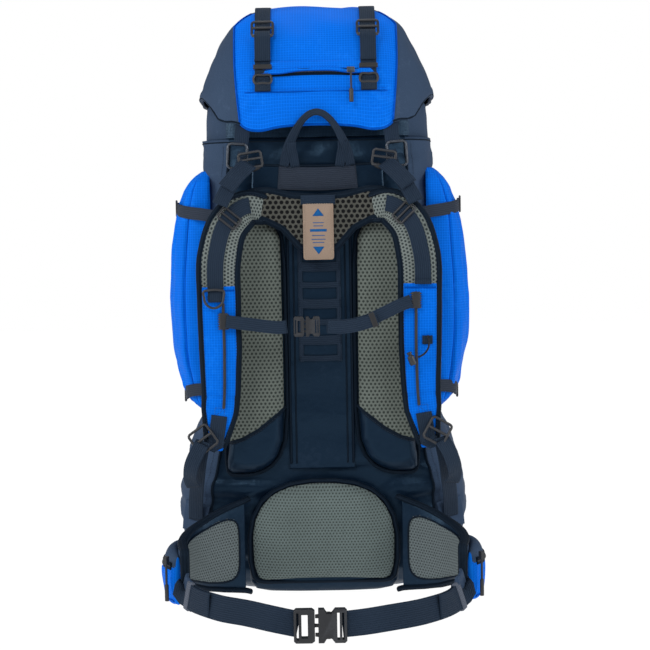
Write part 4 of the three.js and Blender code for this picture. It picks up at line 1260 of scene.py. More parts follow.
def backPads():
    wall = -0.1362
    for name, sign in bothSides:
        inner, outer, ends = padEdges(backPad, sign)
        depth = backPad["thickness"] * mm * np.clip(np.sin(ends * np.pi) * 6, 0, 1) ** 0.5
        shelf = [0, wall - 0.0042, 0]
        grid = edgePad(inner + shelf, outer + shelf, depth, (0, -1, 0), back=0.22)
        piece = surface("back_pad_mesh_" + name, grid, "backMesh")
        puffed(piece, 0.004, limit=lambda p: p * [1, 0, 1] + np.clip(p[:, 1:2], -0.1585, wall) * [0, 1, 0])
        paintFaces(piece, ["backMesh", "navyNylon"], lambda c: c[:, 2] < meshLow(c[:, 0]))
        settle(piece, "pack", ["back_pad_" + name])
        x = np.linspace(58, 148, 40)
        face = np.array([hitFace(piece, sign * k * mm, meshLow(k * mm)) for k in x])
        settle(piping("back_pad_binding_" + name, evenly(face, step=0.003), 3.2 * mm, "binding",
            flat=0.45), "pack")
        settle(stitches("back_pad_stitches_" + name, face + [0, -0.0016, -0.0022]), "pack")
        outline = np.concatenate([inner, outer[::-1]])
        rim = evenly(np.concatenate([outline, outline[:1]]), 260)[:-1] + [0, wall - 0.0028, 0]
        settle(piping("back_pad_rim_" + name, rim, 3.0 * mm, "binding", closed=True, flat=0.9), "pack")


def hitFace(piece, x, z, lift=0.0006):
    # the point of a piece's harness-side face at x and z, lifted off it
    hit, where = piece.ray_cast(Vector((x, -0.6, z)), Vector((0, 1, 0)))[:2]
    return np.array(where) + [0, -lift, 0] if hit else np.array([x, -0.14, z])


backPads()

spine = {"half": 53, "bottom": 206, "top": 640, "thickness": 4.6,
    "rungs": (385, 414, 443, 472, 502, 531, 560), "rail": 30.5}


def spinePanel():
    # a soft column between the back pads: crossways dips where it is sewn down, and a piped edge on
    # each side
    z = np.linspace(spine["bottom"], spine["top"], 150) * mm
    edges = [np.stack([np.full_like(z, sign * spine["half"] * mm), np.full_like(z, -0.1362), z], axis=1)
        for sign in (-1, 1)]
    depth = spine["thickness"] * mm * (0.75 + 0.12 * np.sin(z / 0.011) * ((z < 0.38) | (z > 0.57)) + 0.05)
    grid = edgePad(*edges, depth, (0, -1, 0), points=64, squareness=8, back=0.1)
    grid[..., 1] -= np.maximum(0, ripple(grid, 0.05, 5)) * 0.0004
    settle(surface("spine_column", grid, "navyNylon"), "pack", ["spine_panel"])
    for name, sign in bothSides:
        for k, (x, radius) in enumerate(((50, 1.8), (41, 1.3))):
            line = np.stack([np.full(90, sign * x * mm), np.full(90, -0.1404),
                np.linspace(0.215, 0.632, 90)], axis=1)
            settle(piping(f"spine_piping_{k}_{name}", line, radius * mm, "binding"), "pack")
    rails = []
    for sign in (-1, 1):
        rails.append(strap("rail", [[sign * spine["rail"] * mm, -0.1425, z * mm]
            for z in (379, 440, 500, 566)], 7 * mm,
                           "webbing", 1.8 * mm))
    settle(joinPieces("height_ladder_rails", rails), "pack", ["height_ladder"])
    for k, z in enumerate(spine["rungs"]):
        wave = [[x * mm, (-142.9 + 0.9 * np.cos(x / 34 * np.pi / 2)) * mm,
            (z - 1.2 * np.cos(x / 34 * np.pi / 2)) * mm]
                for x in (-33.5, -20, -8, 8, 20, 33.5)]
        rung = strap("height_ladder_rung_%d" % (k + 1), wave, 15 * mm if k % 2 else 9 * mm, "webbing",
            1.6 * mm, (0, -1, 0))
        settle(rung, "pack")


spinePanel()

lumbar = {"edge": [[26, 96], [28, 106], [34, 113], [60, 118], [100, 118], [130, 112], [155, 98], [172, 78],
    [183, 52], [188, 20]],
          "thickness": 31, "borderEdge": [[8, 60], [9, 90], [13, 110], [24, 119], [60, 121.5], [100, 121],
          [134, 114], [160, 99],
                                          [178, 77], [187, 48], [190, 20]]}


def lumbarPad():
    # a domed mesh pad on a wider navy border, with a bound rim
    def loop(table, count, y):
        ends = np.sin((np.linspace(0, 1, count) - 0.5) * np.pi) * 0.5 + 0.5
        z = table[0][0] + ends * (table[-1][0] - table[0][0])
        x = lookup(table, z)
        return [np.stack([sign * x, np.full_like(x, y), z], axis=1) * mm for sign in (-1, 1)], ends
    edges, ends = loop(lumbar["edge"], 110, -146)
    depth = lumbar["thickness"] * mm * np.clip(np.sin(ends * np.pi) * 2.2 + 0.06, 0, 1) ** 0.6
    dome = surface("lumbar_mesh", edgePad(*edges, depth, (0, -1, 0), back=0.2, squareness=3), "lumbarMesh")
    puffed(dome, 0.005, limit=lambda p: p * [1, 0, 1] + np.clip(p[:, 1:2], -0.1795, -0.138) * [0, 1, 0])
    settle(dome, "pack", ["lumbar_pad"])
    edges, ends = loop(lumbar["borderEdge"], 110, -140)
    depth = 15 * mm * np.clip(np.sin(ends * np.pi) * 3 + 0.1, 0, 1) ** 0.5
    border = surface("lumbar_border", edgePad(*edges, depth, (0, -1, 0), back=0.25, squareness=4),
        "navyNylon")
    settle(border, "pack")
    outline = np.concatenate([loop(lumbar["edge"], 110, -151)[0][0],
        loop(lumbar["edge"], 110, -151)[0][1][::-1]])
    rim = evenly(np.concatenate([outline, outline[:1]]), 300)[:-1]
    settle(piping("lumbar_binding", rim, 4.2 * mm, "binding", closed=True, flat=1.1), "pack")


lumbarPad()
print("back panel padded")


# the band and haul loop at the top of the back
topBand = {"half": 104, "blockHalf": 62, "z": 671, "width": 44, "blockWidth": 37}


def topBandPiece():
    # a soft navy band across the top of the back, with a block of ribbed webbing over its middle
    def route(half, dz, dy):
        x = np.linspace(-half, half, 9)
        bow = np.cos(x / half * np.pi / 2)
        return np.stack([x, -141.5 - dy - 2.5 * bow, topBand["z"] + dz - 3 * bow], axis=1) * mm

    under = strap("top_band_under", route(topBand["half"], 0, 0), topBand["width"] * mm, "navyNylon",
        2.4 * mm)
    settle(under, "pack", ["top_band"])
    block = strap("top_band_webbing", route(topBand["blockHalf"], 1, 3.6), topBand["blockWidth"] * mm,
        "greyWebbing", 3 * mm,
                  ripples=0.0004)
    settle(block, "pack")
    for row, dz in (("high", 16), ("low", -14)):
        line = smoothLine(route(topBand["blockHalf"] - 2, 1 + dz, 5.3), step=0.003)
        settle(stitches("top_band_stitches_" + row, line), "pack")
    edge = smoothLine(route(topBand["half"] - 6, 22, 1.6), step=0.005)
    settle(piping("top_band_piping", edge, 1.8 * mm, "binding"), "pack")


topBandPiece()

haulLoop = {
    "half": ((53, -147, 690), (50, -150, 704), (46, -155, 718), (39, -163, 733), (30, -169.5, 749),
    (19, -174.5, 763),
             (9, -177.5, 770)),
    "apex": (0, -178, 772), "foot": ((35, -147, 688), (37, -150, 702), (40, -156, 717), (40, -161, 727)),
}


def haulLoopPiece():
    # an arch of webbing that twists towards its narrow top, on two sewn feet
    half = np.array(haulLoop["half"])
    route = np.concatenate([half * [-1, 1, 1], [haulLoop["apex"]], half[::-1]]) * mm
    line = smoothLine(route, step=0.003)
    share = np.linspace(-1, 1, len(line))
    across, out = sides(line, (0, -1, 0.15))
    twist = 0.55 * np.sin(share * 3.6) * np.exp(-share**2)
    turned = across * np.cos(twist)[:, None] + out * np.sin(twist)[:, None]
    lifted = out * np.cos(twist)[:, None] - across * np.sin(twist)[:, None]
    width = 15 - 4.5 * np.exp(-(share / 0.45) ** 4)
    section = rounded(1, 1, 20, 4)
    grid = line[:, None] + section[None, :, :1] * (width * mm)[:, None, None] * turned[:, None] \
        + section[None, :, 1:] * ((3.4 + 2.2 * np.exp(-(share / 0.45) ** 4)) * mm)[:, None,
            None] * lifted[:, None]
    piece = settle(surface("haul_loop_webbing", grid, "webbing"), "pack", ["haul_loop"])
    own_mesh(piece)
    for name, sign in bothSides:
        foot = np.array(haulLoop["foot"]) * [sign, 1, 1] * mm
        settle(strap("haul_loop_foot_" + name, foot, 15 * mm, "webbing", 2.6 * mm, (0, -1, 0.15)), "pack")
        box = np.array([[38, 684], [51, 684], [51, 696], [38, 696], [38, 684], [51, 696]]) * [sign, 1]
        trace = np.array([[x, -149.8, z] for x, z in evenly(box, 60)]) * mm
        settle(stitches("haul_loop_stitches_" + name, trace, (0, -1, 0), "thread", 2.2 * mm, 1 * mm),
            "pack")


haulLoopPiece()


# the shoulder harness
shoulder = {
    "route": ((82, -165, 622), (110, -183, 624), (139, -204, 599), (153, -214, 552), (155, -216, 480),
    (155, -208, 395),
              (158, -196, 315), (169, -181, 246)),
    "width": [[0, 40], [0.12, 56], [0.3, 62], [0.62, 60], [0.85, 52], [0.96, 34], [1, 24]],
    "thickness": [[0, 8], [0.15, 12.5], [0.85, 12.5], [1, 8]], "meshEnd": 0.40, "rows": 190, "points": 56,
}


def shoulderFrame(sign):
    # the middle line of a shoulder pad with its across and outward directions
    corners = np.array(shoulder["route"], float) * [sign, 1, 1] * mm
    line = smoothLine(corners, shoulder["rows"])
    across, out = sides(line, (0, -1, 0))
    return line, across * (-sign), out


def onPad(sign, t, side, lift):
    # a point on a shoulder pad: t from its top to its end, side from -1 at the inner edge to 1 at the
    # outer one
    line, across, out = shoulderFrame(sign)
    t, side, lift = np.broadcast_arrays(np.asarray(t, float), side, lift)
    row = t * (len(line) - 1)

    def pick(values):
        return np.stack([np.interp(row, np.arange(len(line)), values[:, k]) for k in range(3)], axis=-1)

    width = lookup(shoulder["width"], t)[..., None] / 2 * mm
    return pick(line) + pick(across) * side[..., None] * width + pick(out) * (lift * mm)[..., None]


def shoulderPads():
    # a quilted pad with mesh above and ripstop below, bound along both edges
    for name, sign in bothSides:
        line, across, out = shoulderFrame(sign)
        t = np.linspace(0, 1, len(line))
        half = lookup(shoulder["width"], t)[:, None] / 2 * mm
        inner, outer = line - across * half, line + across * half
        depth = lookup(shoulder["thickness"], t) * mm / 2
        grid = edgePad(inner, outer, depth, out, points=shoulder["points"], back=1.0, squareness=4)
        quilt = np.exp(-((t - 0.22) / 0.010) ** 2) + np.exp(-((t
            - shoulder["meshEnd"]) / 0.008) ** 2) + np.exp(-((t - 0.80) / 0.01) ** 2)
        a = np.linspace(0, 2 * np.pi, shoulder["points"], endpoint=False)
        grid -= out[:, None] * (quilt[:, None] * np.maximum(0, np.sin(a))[None] * 0.0016)[..., None]
        grid += out[:, None] * (ripple(grid, 0.05, 61) * 0.0005)[..., None]
        front = (a > 0) & (a < np.pi)
        zones = np.full((len(t) - 1, len(a)), 2)
        zones[:, front] = 0
        zones[t[:-1] > shoulder["meshEnd"]] = np.where(front, 1, 2)
        body = surface("shoulder_pad_body_" + name, grid, ["strapMesh", "blueRipstop", "backMesh"],
                       zones=zones, start=len(a) // 4)
        settle(body, "harness", ["shoulder_pad_" + name])
        for edge, side in (("inner", -1), ("outer", 1)):
            rail = onPad(sign, np.linspace(0.0, 0.985, 130), side * 0.96, 0)
            section = rounded(9.5 * mm, 12.5 * mm, 20, 2.6)
            grid = sweep(rail, section, (0, -1, 0))
            settle(surface(f"shoulder_binding_{edge}_{name}", grid, "binding"), "harness")
            seam = onPad(sign, np.linspace(0.01, 0.97, 200), side * 0.84, 7.1)
            settle(stitches(f"shoulder_stitches_{edge}_{name}", seam), "harness")


shoulderPads()


def shoulderWebbing():
    # the strap, slide buckle, rail and stitching that lie on each shoulder pad
    for name, sign, end in (("left", -1, 0.445), ("right", 1, 0.40)):
        down = onPad(sign, np.linspace(0.075, end, 30), 0.14 * np.ones(30), 8.3)
        loop = surface("webbing", sweep(smoothLine(down, step=0.003), rounded(25 * mm, 1.9 * mm, 20, 5),
            (0, -1, 0)), "webbing")
        fold = onPad(sign, np.linspace(end - 0.012, end + 0.004, 8), 0.14, 9.6)
        patch = surface("fold", sweep(smoothLine(fold, step=0.002), rounded(26 * mm, 3.4 * mm, 20, 5),
            (0, -1, 0)), "webbing")
        settle(joinPieces("shoulder_webbing_" + name, [loop, patch]), "harness")
        settle(triGlide("tri_glide_" + name, sign, 0.165 if name == "left" else 0.150, 33, 20), "harness")
        low = [onPad(sign, t, 0.0, 7.6) for t in (0.865, 0.90, 0.94, 0.975)]
        low.append(np.array([sign * 0.1795, -0.1935, 0.262]))
        settle(strap("pad_end_webbing_" + name, low, 25 * mm, "webbing", 2 * mm), "harness")
        rail = onPad(sign, np.linspace(0.46 if name == "left" else 0.43, 0.835, 80), -0.22, 8.6)
        settle(piping("sternum_rail_" + name, rail, 2.3 * mm, "rubber"), "harness")
        patchEdge = onPad(sign, 0.415 + 0 * np.linspace(0, 1, 30), np.linspace(-0.8, 0.8, 30), 7.4)
        settle(piping("shoulder_panel_seam_" + name, patchEdge, 0.9 * mm, "blueSeam"), "harness")
        settle(stitches("shoulder_panel_stitches_" + name, patchEdge + [0, -0.0003, -0.002], (0, -1, 0),
            "blueThread"), "harness")
    box = np.array([[-0.30, 0.835], [0.30, 0.835], [0.30, 0.870], [-0.30, 0.870], [-0.30, 0.835],
        [0.30, 0.870]])
    for name, sign in bothSides:
        steps = evenly(box, 70)
        trace = onPad(sign, steps[:, 1], steps[:, 0], 8.2)
        settle(stitches("pad_end_stitches_" + name, trace, (0, -1, 0), "thread", 2.2 * mm, 1 * mm),
            "harness")


def triGlide(name, sign, t, width, height):
    # a slide buckle: a rounded frame with a middle bar, following the pad
    centre = onPad(sign, t, 0.14, 10.6)
    along = unit(onPad(sign, t + 0.01, 0.14, 10.6) - onPad(sign, t - 0.01, 0.14, 10.6))
    across = unit(np.cross(along, [0, -1, 0]))
    ring = roundedOutline(width, height, 3.0, (0, 0), 44) * mm
    loop = centre + ring[:, :1] * across + ring[:, 1:] * along
    parts = [piping("frame", loop, 1.9 * mm, "plastic", closed=True, flat=1.0)]
    bar = centre + np.linspace(-0.5, 0.5, 8)[:, None] * width * mm * across
    parts.append(piping("bar", bar, 1.8 * mm, "plastic"))
    return joinPieces(name, parts)


shoulderWebbing()

yokeShape = {"top": [[0, 640], [40, 643], [78, 652], [100, 651], [112, 646], [120, 634]],
             "bottom": [[0, 557], [22, 558], [30, 563], [38, 572], [56, 592], [84, 606], [110, 611],
             [120, 622]], "half": 120}


def yokePiece():
    # a stiff mesh panel between its upper and lower edges, with a bound rim
    x = np.sin(np.linspace(-1, 1, 150) * np.pi / 2) * yokeShape["half"]
    high = np.stack([x, np.full_like(x, -166.5), lookup(yokeShape["top"], np.abs(x))], axis=1) * mm
    low = np.stack([x, np.full_like(x, -166.5), lookup(yokeShape["bottom"], np.abs(x))], axis=1) * mm
    bend = np.clip(np.abs(x) - 60, 0, None)[:, None] * [0, -0.00012, 0]
    high, low = high + bend, low + bend
    grid = edgePad(low, high, 3.4 * mm, (0, -1, 0), points=60, squareness=7, back=0.9)
    settle(surface("yoke_panel", grid, "honeycomb"), "harness", ["yoke"])
    outline = np.concatenate([low, high[::-1]])
    rim = evenly(np.concatenate([outline, outline[:1]]), 260)[:-1]
    section = rounded(11 * mm, 8.6 * mm, 16, 2.8)
    ring = np.concatenate([rim[-2:], rim, rim[:2]])
    grid = sweep(ring, section, (0, -1, 0))[2:-2]
    settle(surface("yoke_binding", grid, "binding", along=True), "harness")
    grip = [[0, -0.1605, z] for z in (0.570, 0.59, 0.61, 0.628)]
    settle(strap("yoke_height_strap", grip, 50 * mm, "webbing", 3 * mm), "harness")


yokePiece()

tag = {"middle": 587, "y": -172.4}


def hangTag():
    # a card with a stitched border, two arrows and plain bars, held by a strap
    middle = tag["middle"]
    outline = roundedOutline(48, 90, 4, (0, middle), 120)
    grid = np.stack([np.stack([outline[:, 0] * k, np.full(120, tag["y"] + d),
        middle + (outline[:, 1] - middle) * k], axis=1)
                     for k, d in ((0.02, 0.45), (0.99, 0.45), (1, 0.3), (1, -0.3), (0.99, -0.45),
                     (0.02, -0.45))]) * mm
    card = surface("tag_card", grid, "card")
    settle(card, "harness", ["hang_tag"])
    border = roundedOutline(43, 85, 2.5, (0, middle), 160)
    path = np.stack([border[:, 0], np.full(160, tag["y"] - 0.5), border[:, 1]], axis=1) * mm
    settle(stitches("tag_stitches", np.concatenate([path, path[:1]]), (0, -1, 0), "paleThread", 2.4 * mm,
        1.4 * mm, 0.45 * mm), "harness")
    for name, z, up in (("upper", 616, 1), ("lower", 557, -1)):
        corners = np.array([[-9, -5.5 * up], [9, -5.5 * up], [0, 6.5 * up]])
        ring = evenly(np.concatenate([corners, corners[:1]]), 31)[:-1]
        grid = np.stack([np.stack([ring[:, 0] * k, np.full(30, tag["y"] - d), z + ring[:, 1] * k], axis=1)
                         for k, d in ((0.02, 0.5), (1, 0.5), (0.97, 0.95), (0.02, 0.95))]) * mm
        settle(surface("tag_arrow_" + name, grid, "cardBlue"), "harness")
    bars = [(600, 17), (595, 15), (588, 26), (580, 20), (574, 22), (569, 18)]
    for k, (z, wide) in enumerate(bars):
        mark = np.array([[x, tag["y"] - 0.55, z] for x in np.linspace(-wide / 2, wide / 2, 6)]) * mm
        height = 4.2 if k == 2 else 1.2
        piece = surface("tag_rule_%d" % (k + 1), sweep(mark, rounded(height * mm, 0.5 * mm, 8, 4),
            (0, -1, 0)), "cardBlue")
        settle(piece, "harness")
    loop = [[x * mm, -0.1718, 0.636] for x in (-27, -14, 0, 14, 27)]
    settle(strap("tag_hanger", loop, 15 * mm, "webbing", 2.4 * mm), "harness")


hangTag()
print("harness made")


# straps between the pack and the harness
lifter = {
    "corners": ((151, -215, 630), (146, -212, 640), (137, -207, 656), (124, -194, 676), (112, -183, 690)),
    "tail": ((106, -182, 694), (115, -190, 685), (128, -202, 671), (141, -211.5, 656)),
    "ring": (125, -168, 706), "ringWidth": 30, "ringHeight": 38, "ringTilt": 0.06,
    "holder": ((117, -148, 762), (117, -156, 746), (118, -164, 732), (119, -168.5, 722)),
    "link": ((112, -171, 697), (118, -171.5, 699), (126, -170, 701)),
}
lowerStrap = {"corners": ((186, -199, 262), (192, -193, 236), (199, -168, 196), (205, -138, 152),
    (207, -122.5, 122)),
              "tail": ((188, -203, 258), (199, -207, 238), (207, -200, 214), (208, -186, 196),
              (204, -178, 186))}


def pointsOf(corners, sign):
    # a list of corners in mm, mirrored for the left side, in metres
    return np.array(corners, float) * [sign, 1, 1] * mm


def harnessStraps():
    # load lifters and lower straps, which stretch between harness and pack, with their fittings
    for name, sign in bothSides:
        line = pointsOf(lifter["corners"], sign)
        piece = strap("load_lifter_webbing_" + name, line, 25 * mm, "webbing", 2 * mm, (0, -1, 0.5))
        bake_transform(piece)
        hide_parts("load_lifter_" + name)
        tail = strap("lifter_tail_" + name, pointsOf(lifter["tail"], sign), 28 * mm, "webbing", 2.4 * mm,
            (0, -1, 0.5),
                     ripples=0.0006)
        settle(tail, "harness")
        centre = pointsOf(lifter["ring"], sign)
        lean = lifter["ringTilt"]
        tilt, up = np.array([1, 0, sign * lean]), np.array([-sign * lean, -0.12, 1])
        ring = roundedOutline(lifter["ringWidth"], lifter["ringHeight"], 6, (0, 0), 60) * mm
        loop = centre + ring[:, :1] * unit(tilt) + ring[:, 1:] * unit(up)
        settle(piping("lifter_ring_" + name, loop, 2.2 * mm, "gunmetal", closed=True), "pack")
        settle(strap("lifter_anchor_" + name, pointsOf(lifter["holder"], sign), 23 * mm, "webbing", 3 * mm,
            (0, -1, 0.3)),
               "pack")
        settle(strap("lifter_link_" + name, pointsOf(lifter["link"], sign), 26 * mm, "webbing", 3 * mm,
            (0, -1, 0)),
               "pack")
        line = pointsOf(lowerStrap["corners"], sign)
        piece = strap("lower_strap_webbing_" + name, line, 25 * mm, "webbing", 2 * mm, (sign * 0.3, -1, 0))
        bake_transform(piece)
        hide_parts("lower_strap_" + name)
        settle(strap("lower_strap_tail_" + name, pointsOf(lowerStrap["tail"], sign), 25 * mm, "webbing",
            2 * mm,
                     (sign * 0.4, -1, 0), ripples=0.001), "harness")
        wedge = pointsOf(((203, -122, 150), (208, -119, 124), (210, -118, 104)), sign)
        settle(strap("lower_strap_anchor_" + name, wedge, 44 * mm, "slateNylon", 3 * mm,
            (sign * 0.45, -1, 0)), "pack")


harnessStraps()

sternum = {"left": ((-144, -229.5, 451), (-128, -232, 449), (-104, -235, 446), (-78, -238, 442.5),
    (-62, -238.5, 441), (-50, -238, 442)),
           "right": ((10, -238, 442), (40, -238.5, 442), (66, -238, 447), (100, -235, 461),
           (124, -231.5, 472), (141, -229.5, 478)),
           "tail": ((12, -241.5, 441), (30, -242.5, 440), (52, -242, 442), (72, -241, 447),
           (88, -240.5, 452))}


def sternumStrap():
    # two bands meeting at the buckle, the loose tail, and a ribbed slider on each rail
    for name in ("left", "right"):
        line = np.array(sternum[name], float) * mm
        piece = strap("sternum_webbing_" + name, line, 20 * mm, "webbing", 1.9 * mm, ripples=0.0004)
        settle(piece, "sternum", ["sternum_strap_" + name])
    settle(strap("sternum_tail", np.array(sternum["tail"]) * mm, 20 * mm, "webbing", 1.9 * mm), "sternum")
    settle(strap("sternum_keeper", np.array([[78, -239.5, 449], [82, -239.5, 450.5], [86, -239.5, 452]])
        * mm, 23 * mm,
                 "rubber", 6.5 * mm, step=0.002), "sternum")
    for name, sign, z in (("left", -1, 451), ("right", 1, 479)):
        t = 0.545 if name == "left" else 0.498
        centre = onPad(sign, t, -0.22, 9.5)
        centre[2] = z * mm
        clip = [centre + np.array([0, -0.001, dz]) for dz in np.linspace(-0.0125, 0.0125, 40)]
        section = rounded(15 * mm, 8.5 * mm, 20, 4)
        teeth = 1 + 0.13 * np.sign(np.sin(np.linspace(0, 7 * 2 * np.pi, 40)))
        settle(surface("sternum_slider_" + name, sweep(np.array(clip), section, (0, -1, 0), teeth),
            "plastic"),
               "sternum")


sternumStrap()

def keeperPatch():
    # the patch of webbing that the keeper cord is sewn under
    patch = [onPad(1, t, 0.36, 8.4) for t in (0.585, 0.60, 0.615)]
    settle(strap("keeper_patch", patch, 16 * mm, "webbing", 2.6 * mm, step=0.003), "harness")


keeperPatch()


def ringLoop():
    # the folded webbing loop that holds the D-ring on the left strap
    low = [onPad(-1, t, 0.14, lift) for t, lift in ((0.405, 8), (0.425, 9.5), (0.440, 11), (0.455, 12.5))]
    settle(strap("d_ring_loop", low, 24 * mm, "webbing", 3 * mm, step=0.003), "harness")
    outline = [[-15, 1], [-15, -9], [-13, -17], [-8, -22.5], [0, -25], [8, -22.5], [13, -17], [15, -9],
        [15, 1], [8, 2.5], [-8, 2.5]]
    ring = closedLoop(np.array(outline), 60)
    loop = np.stack([ring[:, 0] - 162, np.full(60, -230.5), ring[:, 1] + 497], axis=1) * mm
    settle(piping("d_ring_bow", loop, 1.9 * mm, "plastic", closed=True), "d_ring",
        ["d_ring"])


ringLoop()
print("straps made")

# the hip belt and its wings
wing = {
    "route": ((127, -154), (158, -164), (190, -188), (211, -224), (216, -262), (209, -300)),
    "top": [[0, 158], [0.18, 146], [0.4, 131], [0.6, 122], [0.85, 114], [1, 109]],
    "bottom": [[0, 13], [0.18, 17], [0.35, 24], [0.55, 37], [0.8, 54], [1, 62]],
    "thickness": [[0, 9], [0.12, 14], [0.85, 14], [1, 8]], "rows": 120, "points": 96, "squareness": 4.5,
    "mesh": {"t": 0.46, "level": -0.02, "halfT": 0.41, "halfLevel": 0.80},
    "pocketRoute": ((208, -180), (228, -212), (231, -250), (221, -286)),
    "pocketTop": [[0, 96], [0.25, 108], [0.75, 107], [1, 98]],
    "pocketBottom": [[0, 26], [0.25, 20], [0.75, 20], [1, 25]],
    "pocketThickness": [[0, 12], [0.3, 33], [0.75, 33], [1, 18]], "pocketZip": 84,
}


def wingLines(route, top, bottom, sign, rows):
    # the lower and upper edge lines of a standing pad, its shares along, and its outward direction
    flat = np.array(route, float) * [sign, 1] * mm
    line = smoothLine(np.concatenate([flat, np.zeros((len(flat), 1))], axis=1), rows)
    t = np.linspace(0, 1, rows)
    out = sides(line, (0, 0, 1))[0]
    out *= np.sign(out[rows // 2, 0]) * sign
    low, high = lookup(bottom, t)[:, None] * mm, lookup(top, t)[:, None] * mm
    return line + low * [0, 0, 1], line + high * [0, 0, 1], t, out


def wingPoint(sign, t, level, lift=0.0):
    # a point of a wing's inner face: t along it, level from -1 at its lower edge to 1 at its upper one
    low, high, share, out = wingLines(wing["route"], wing["top"], wing["bottom"], sign, wing["rows"])
    t, level = np.asarray(t, float), np.asarray(level, float)
    pick = np.stack([np.stack([np.interp(t, share, values[:, k]) for k in range(3)], axis=1)
        for values in (low, high, out)])
    bulge = curved(np.sqrt(np.maximum(0, 1 - np.abs(level) ** wing["squareness"])), 2 / 2.4)
    depth = lookup(wing["thickness"], t) * mm / 2 * bulge + lift
    return (pick[0] + pick[1]) / 2 + (pick[1] - pick[0]) / 2 * level[:, None] - pick[2] * depth[:, None]


def hipWings():
    # a standing pad with a mesh panel marked off by a squared ellipse, and its bound edge
    for name, sign in bothSides:
        low, high, t, out = wingLines(wing["route"], wing["top"], wing["bottom"], sign, wing["rows"])
        depth = lookup(wing["thickness"], t) * mm / 2
        grid = edgePad(low, high, depth, out, points=wing["points"], back=1.0,
            squareness=wing["squareness"])
        grid += out[:, None] * (ripple(grid, 0.07, 71) * 0.0006)[..., None]
        a = np.linspace(0, 2 * np.pi, wing["points"], endpoint=False)
        level = curved(np.cos(a), 2 / wing["squareness"])
        mesh = wing["mesh"]
        inside = ((np.abs(t[:-1, None] - mesh["t"]) / mesh["halfT"]) ** 5
                  + (np.abs(level[None]
                  - mesh["level"]) / mesh["halfLevel"]) ** 5 < 1) & (np.sin(a)[None] < 0)
        zones = np.where(inside, 1, np.where(np.sin(a)[None] < 0, 0, 2))
        looks = ["navyNylon", "wingMesh", "slateNylon"]
        piece = surface("hip_wing_pad_" + name, grid, looks, zones=zones, start=wing["points"] * 3 // 4)
        settle(piece, "wing_" + name, ["hip_wing_" + name])
        turn = np.linspace(0, 2 * np.pi, 220, endpoint=False)
        rim = wingPoint(sign, mesh["t"] + mesh["halfT"] * curved(np.cos(turn), 0.4),
                        mesh["level"] + mesh["halfLevel"] * curved(np.sin(turn), 0.4), 0.0003)
        facing = tuple(-out[len(t) // 2])
        settle(piping("wing_mesh_piping_" + name, evenly(rim, 220), 1.4 * mm, "binding", facing=facing,
            closed=True),
               "wing_" + name)
        inward = np.array([[-sign * 0.008, 0.004, 0.003]])
        bound = np.concatenate([high[:1] + inward, high, high[-1:] * [1, 1, 0.97] - [0, 0.002, 0],
            low[-1:] * [1, 1, 1.05] - [0, 0.002, 0],
                                low[::-1], low[:1] + inward * [1, 1, -1]])
        section = rounded(8.5 * mm, 14.5 * mm, 16, 2.6)
        edge = smoothLine(evenly(bound, 60), step=0.003)
        spread = np.concatenate([out[:1], out, out[-1:], out[-1:], out[::-1], out[:1]])
        spread = evenly(spread, len(edge))
        along = unit(np.gradient(edge, axis=0))
        across = unit(np.cross(along, spread))
        face = np.cross(across, along)
        rails = edge[:, None] + section[None, :, :1] * across[:, None] + section[None, :, 1:] * face[:,
            None]
        settle(surface("wing_binding_" + name, rails, "binding"), "wing_" + name)
        hipPocket(name, sign)


def hipPocket(name, sign):
    # a zipped pocket outside the wing: slate above its zip, blue below, with a piped lower edge
    low, high, t, out = wingLines(wing["pocketRoute"], wing["pocketTop"], wing["pocketBottom"], sign, 90)
    depth = lookup(wing["pocketThickness"], t) * mm / 2 * np.clip(np.sin(t * np.pi) * 5 + 0.25, 0, 1) ** 0.5
    grid = edgePad(low, high, depth, out, points=80, back=0.7, squareness=2.6)
    a = np.linspace(0, 2 * np.pi, 80, endpoint=False)
    z = grid[..., 2]
    slack = ripple(grid, 0.05, 77, stretch=(1, 1, 1.5)) * 0.0011 + 0.0008 * np.sin(t * 40)[:, None]
    grid += out[:, None] * (slack * (np.sin(a) > 0) * (z < 0.08))[..., None]
    zones = np.where(z[:-1] > wing["pocketZip"] * mm, 1, 0)
    piece = surface("hip_pocket_shell_" + name, grid, ["blueRipstop", "slateNylon"], zones=zones)
    settle(piece, "wing_" + name)
    facing = tuple(out[len(t) // 2])

    def along(height, lift):
        # the line on the pocket's outer face at one height
        face = np.sin(a) > 0
        points = [row[face][np.argmin(np.abs(row[face][:, 2] - height))] for row in grid[4:-4]]
        line = np.array(points) * [1, 1, 0] + [0, 0, height]
        return evenly(line + out[4:-4] * lift, step=0.004)

    zipLine = along(wing["pocketZip"] * mm, 0.0006)
    tape = surface("hip_zip_tape_" + name, sweep(zipLine, rounded(12 * mm, 1.6 * mm, 12, 4), facing),
        "navyLining")
    settle(tape, "wing_" + name)
    settle(stitches("hip_zip_teeth_" + name, along(wing["pocketZip"] * mm, 0.0014), facing, "plastic",
        1.5 * mm, 0.7 * mm,
                    1.4 * mm), "wing_" + name)
    settle(piping("hip_pocket_piping_" + name, along(0.030, 0.0006), 1.5 * mm, "blueSeam", facing=facing),
           "wing_" + name)


hipWings()

belt = {
    "width": 38,
    "left": ((-206, -302, 55), (-207, -310, 54), (-193, -347, 50), (-152, -393, 47), (-105, -417, 43.5),
    (-70, -428, 38),
             (-37, -430, 31)),
    "right": ((25, -430, 30), (60, -428, 33), (104, -416, 36.5), (150, -393, 38.5), (193, -347, 42),
    (207, -310, 48),
              (206, -302, 49)),
    "double": 0.42, "keeperAt": 0.155,
}


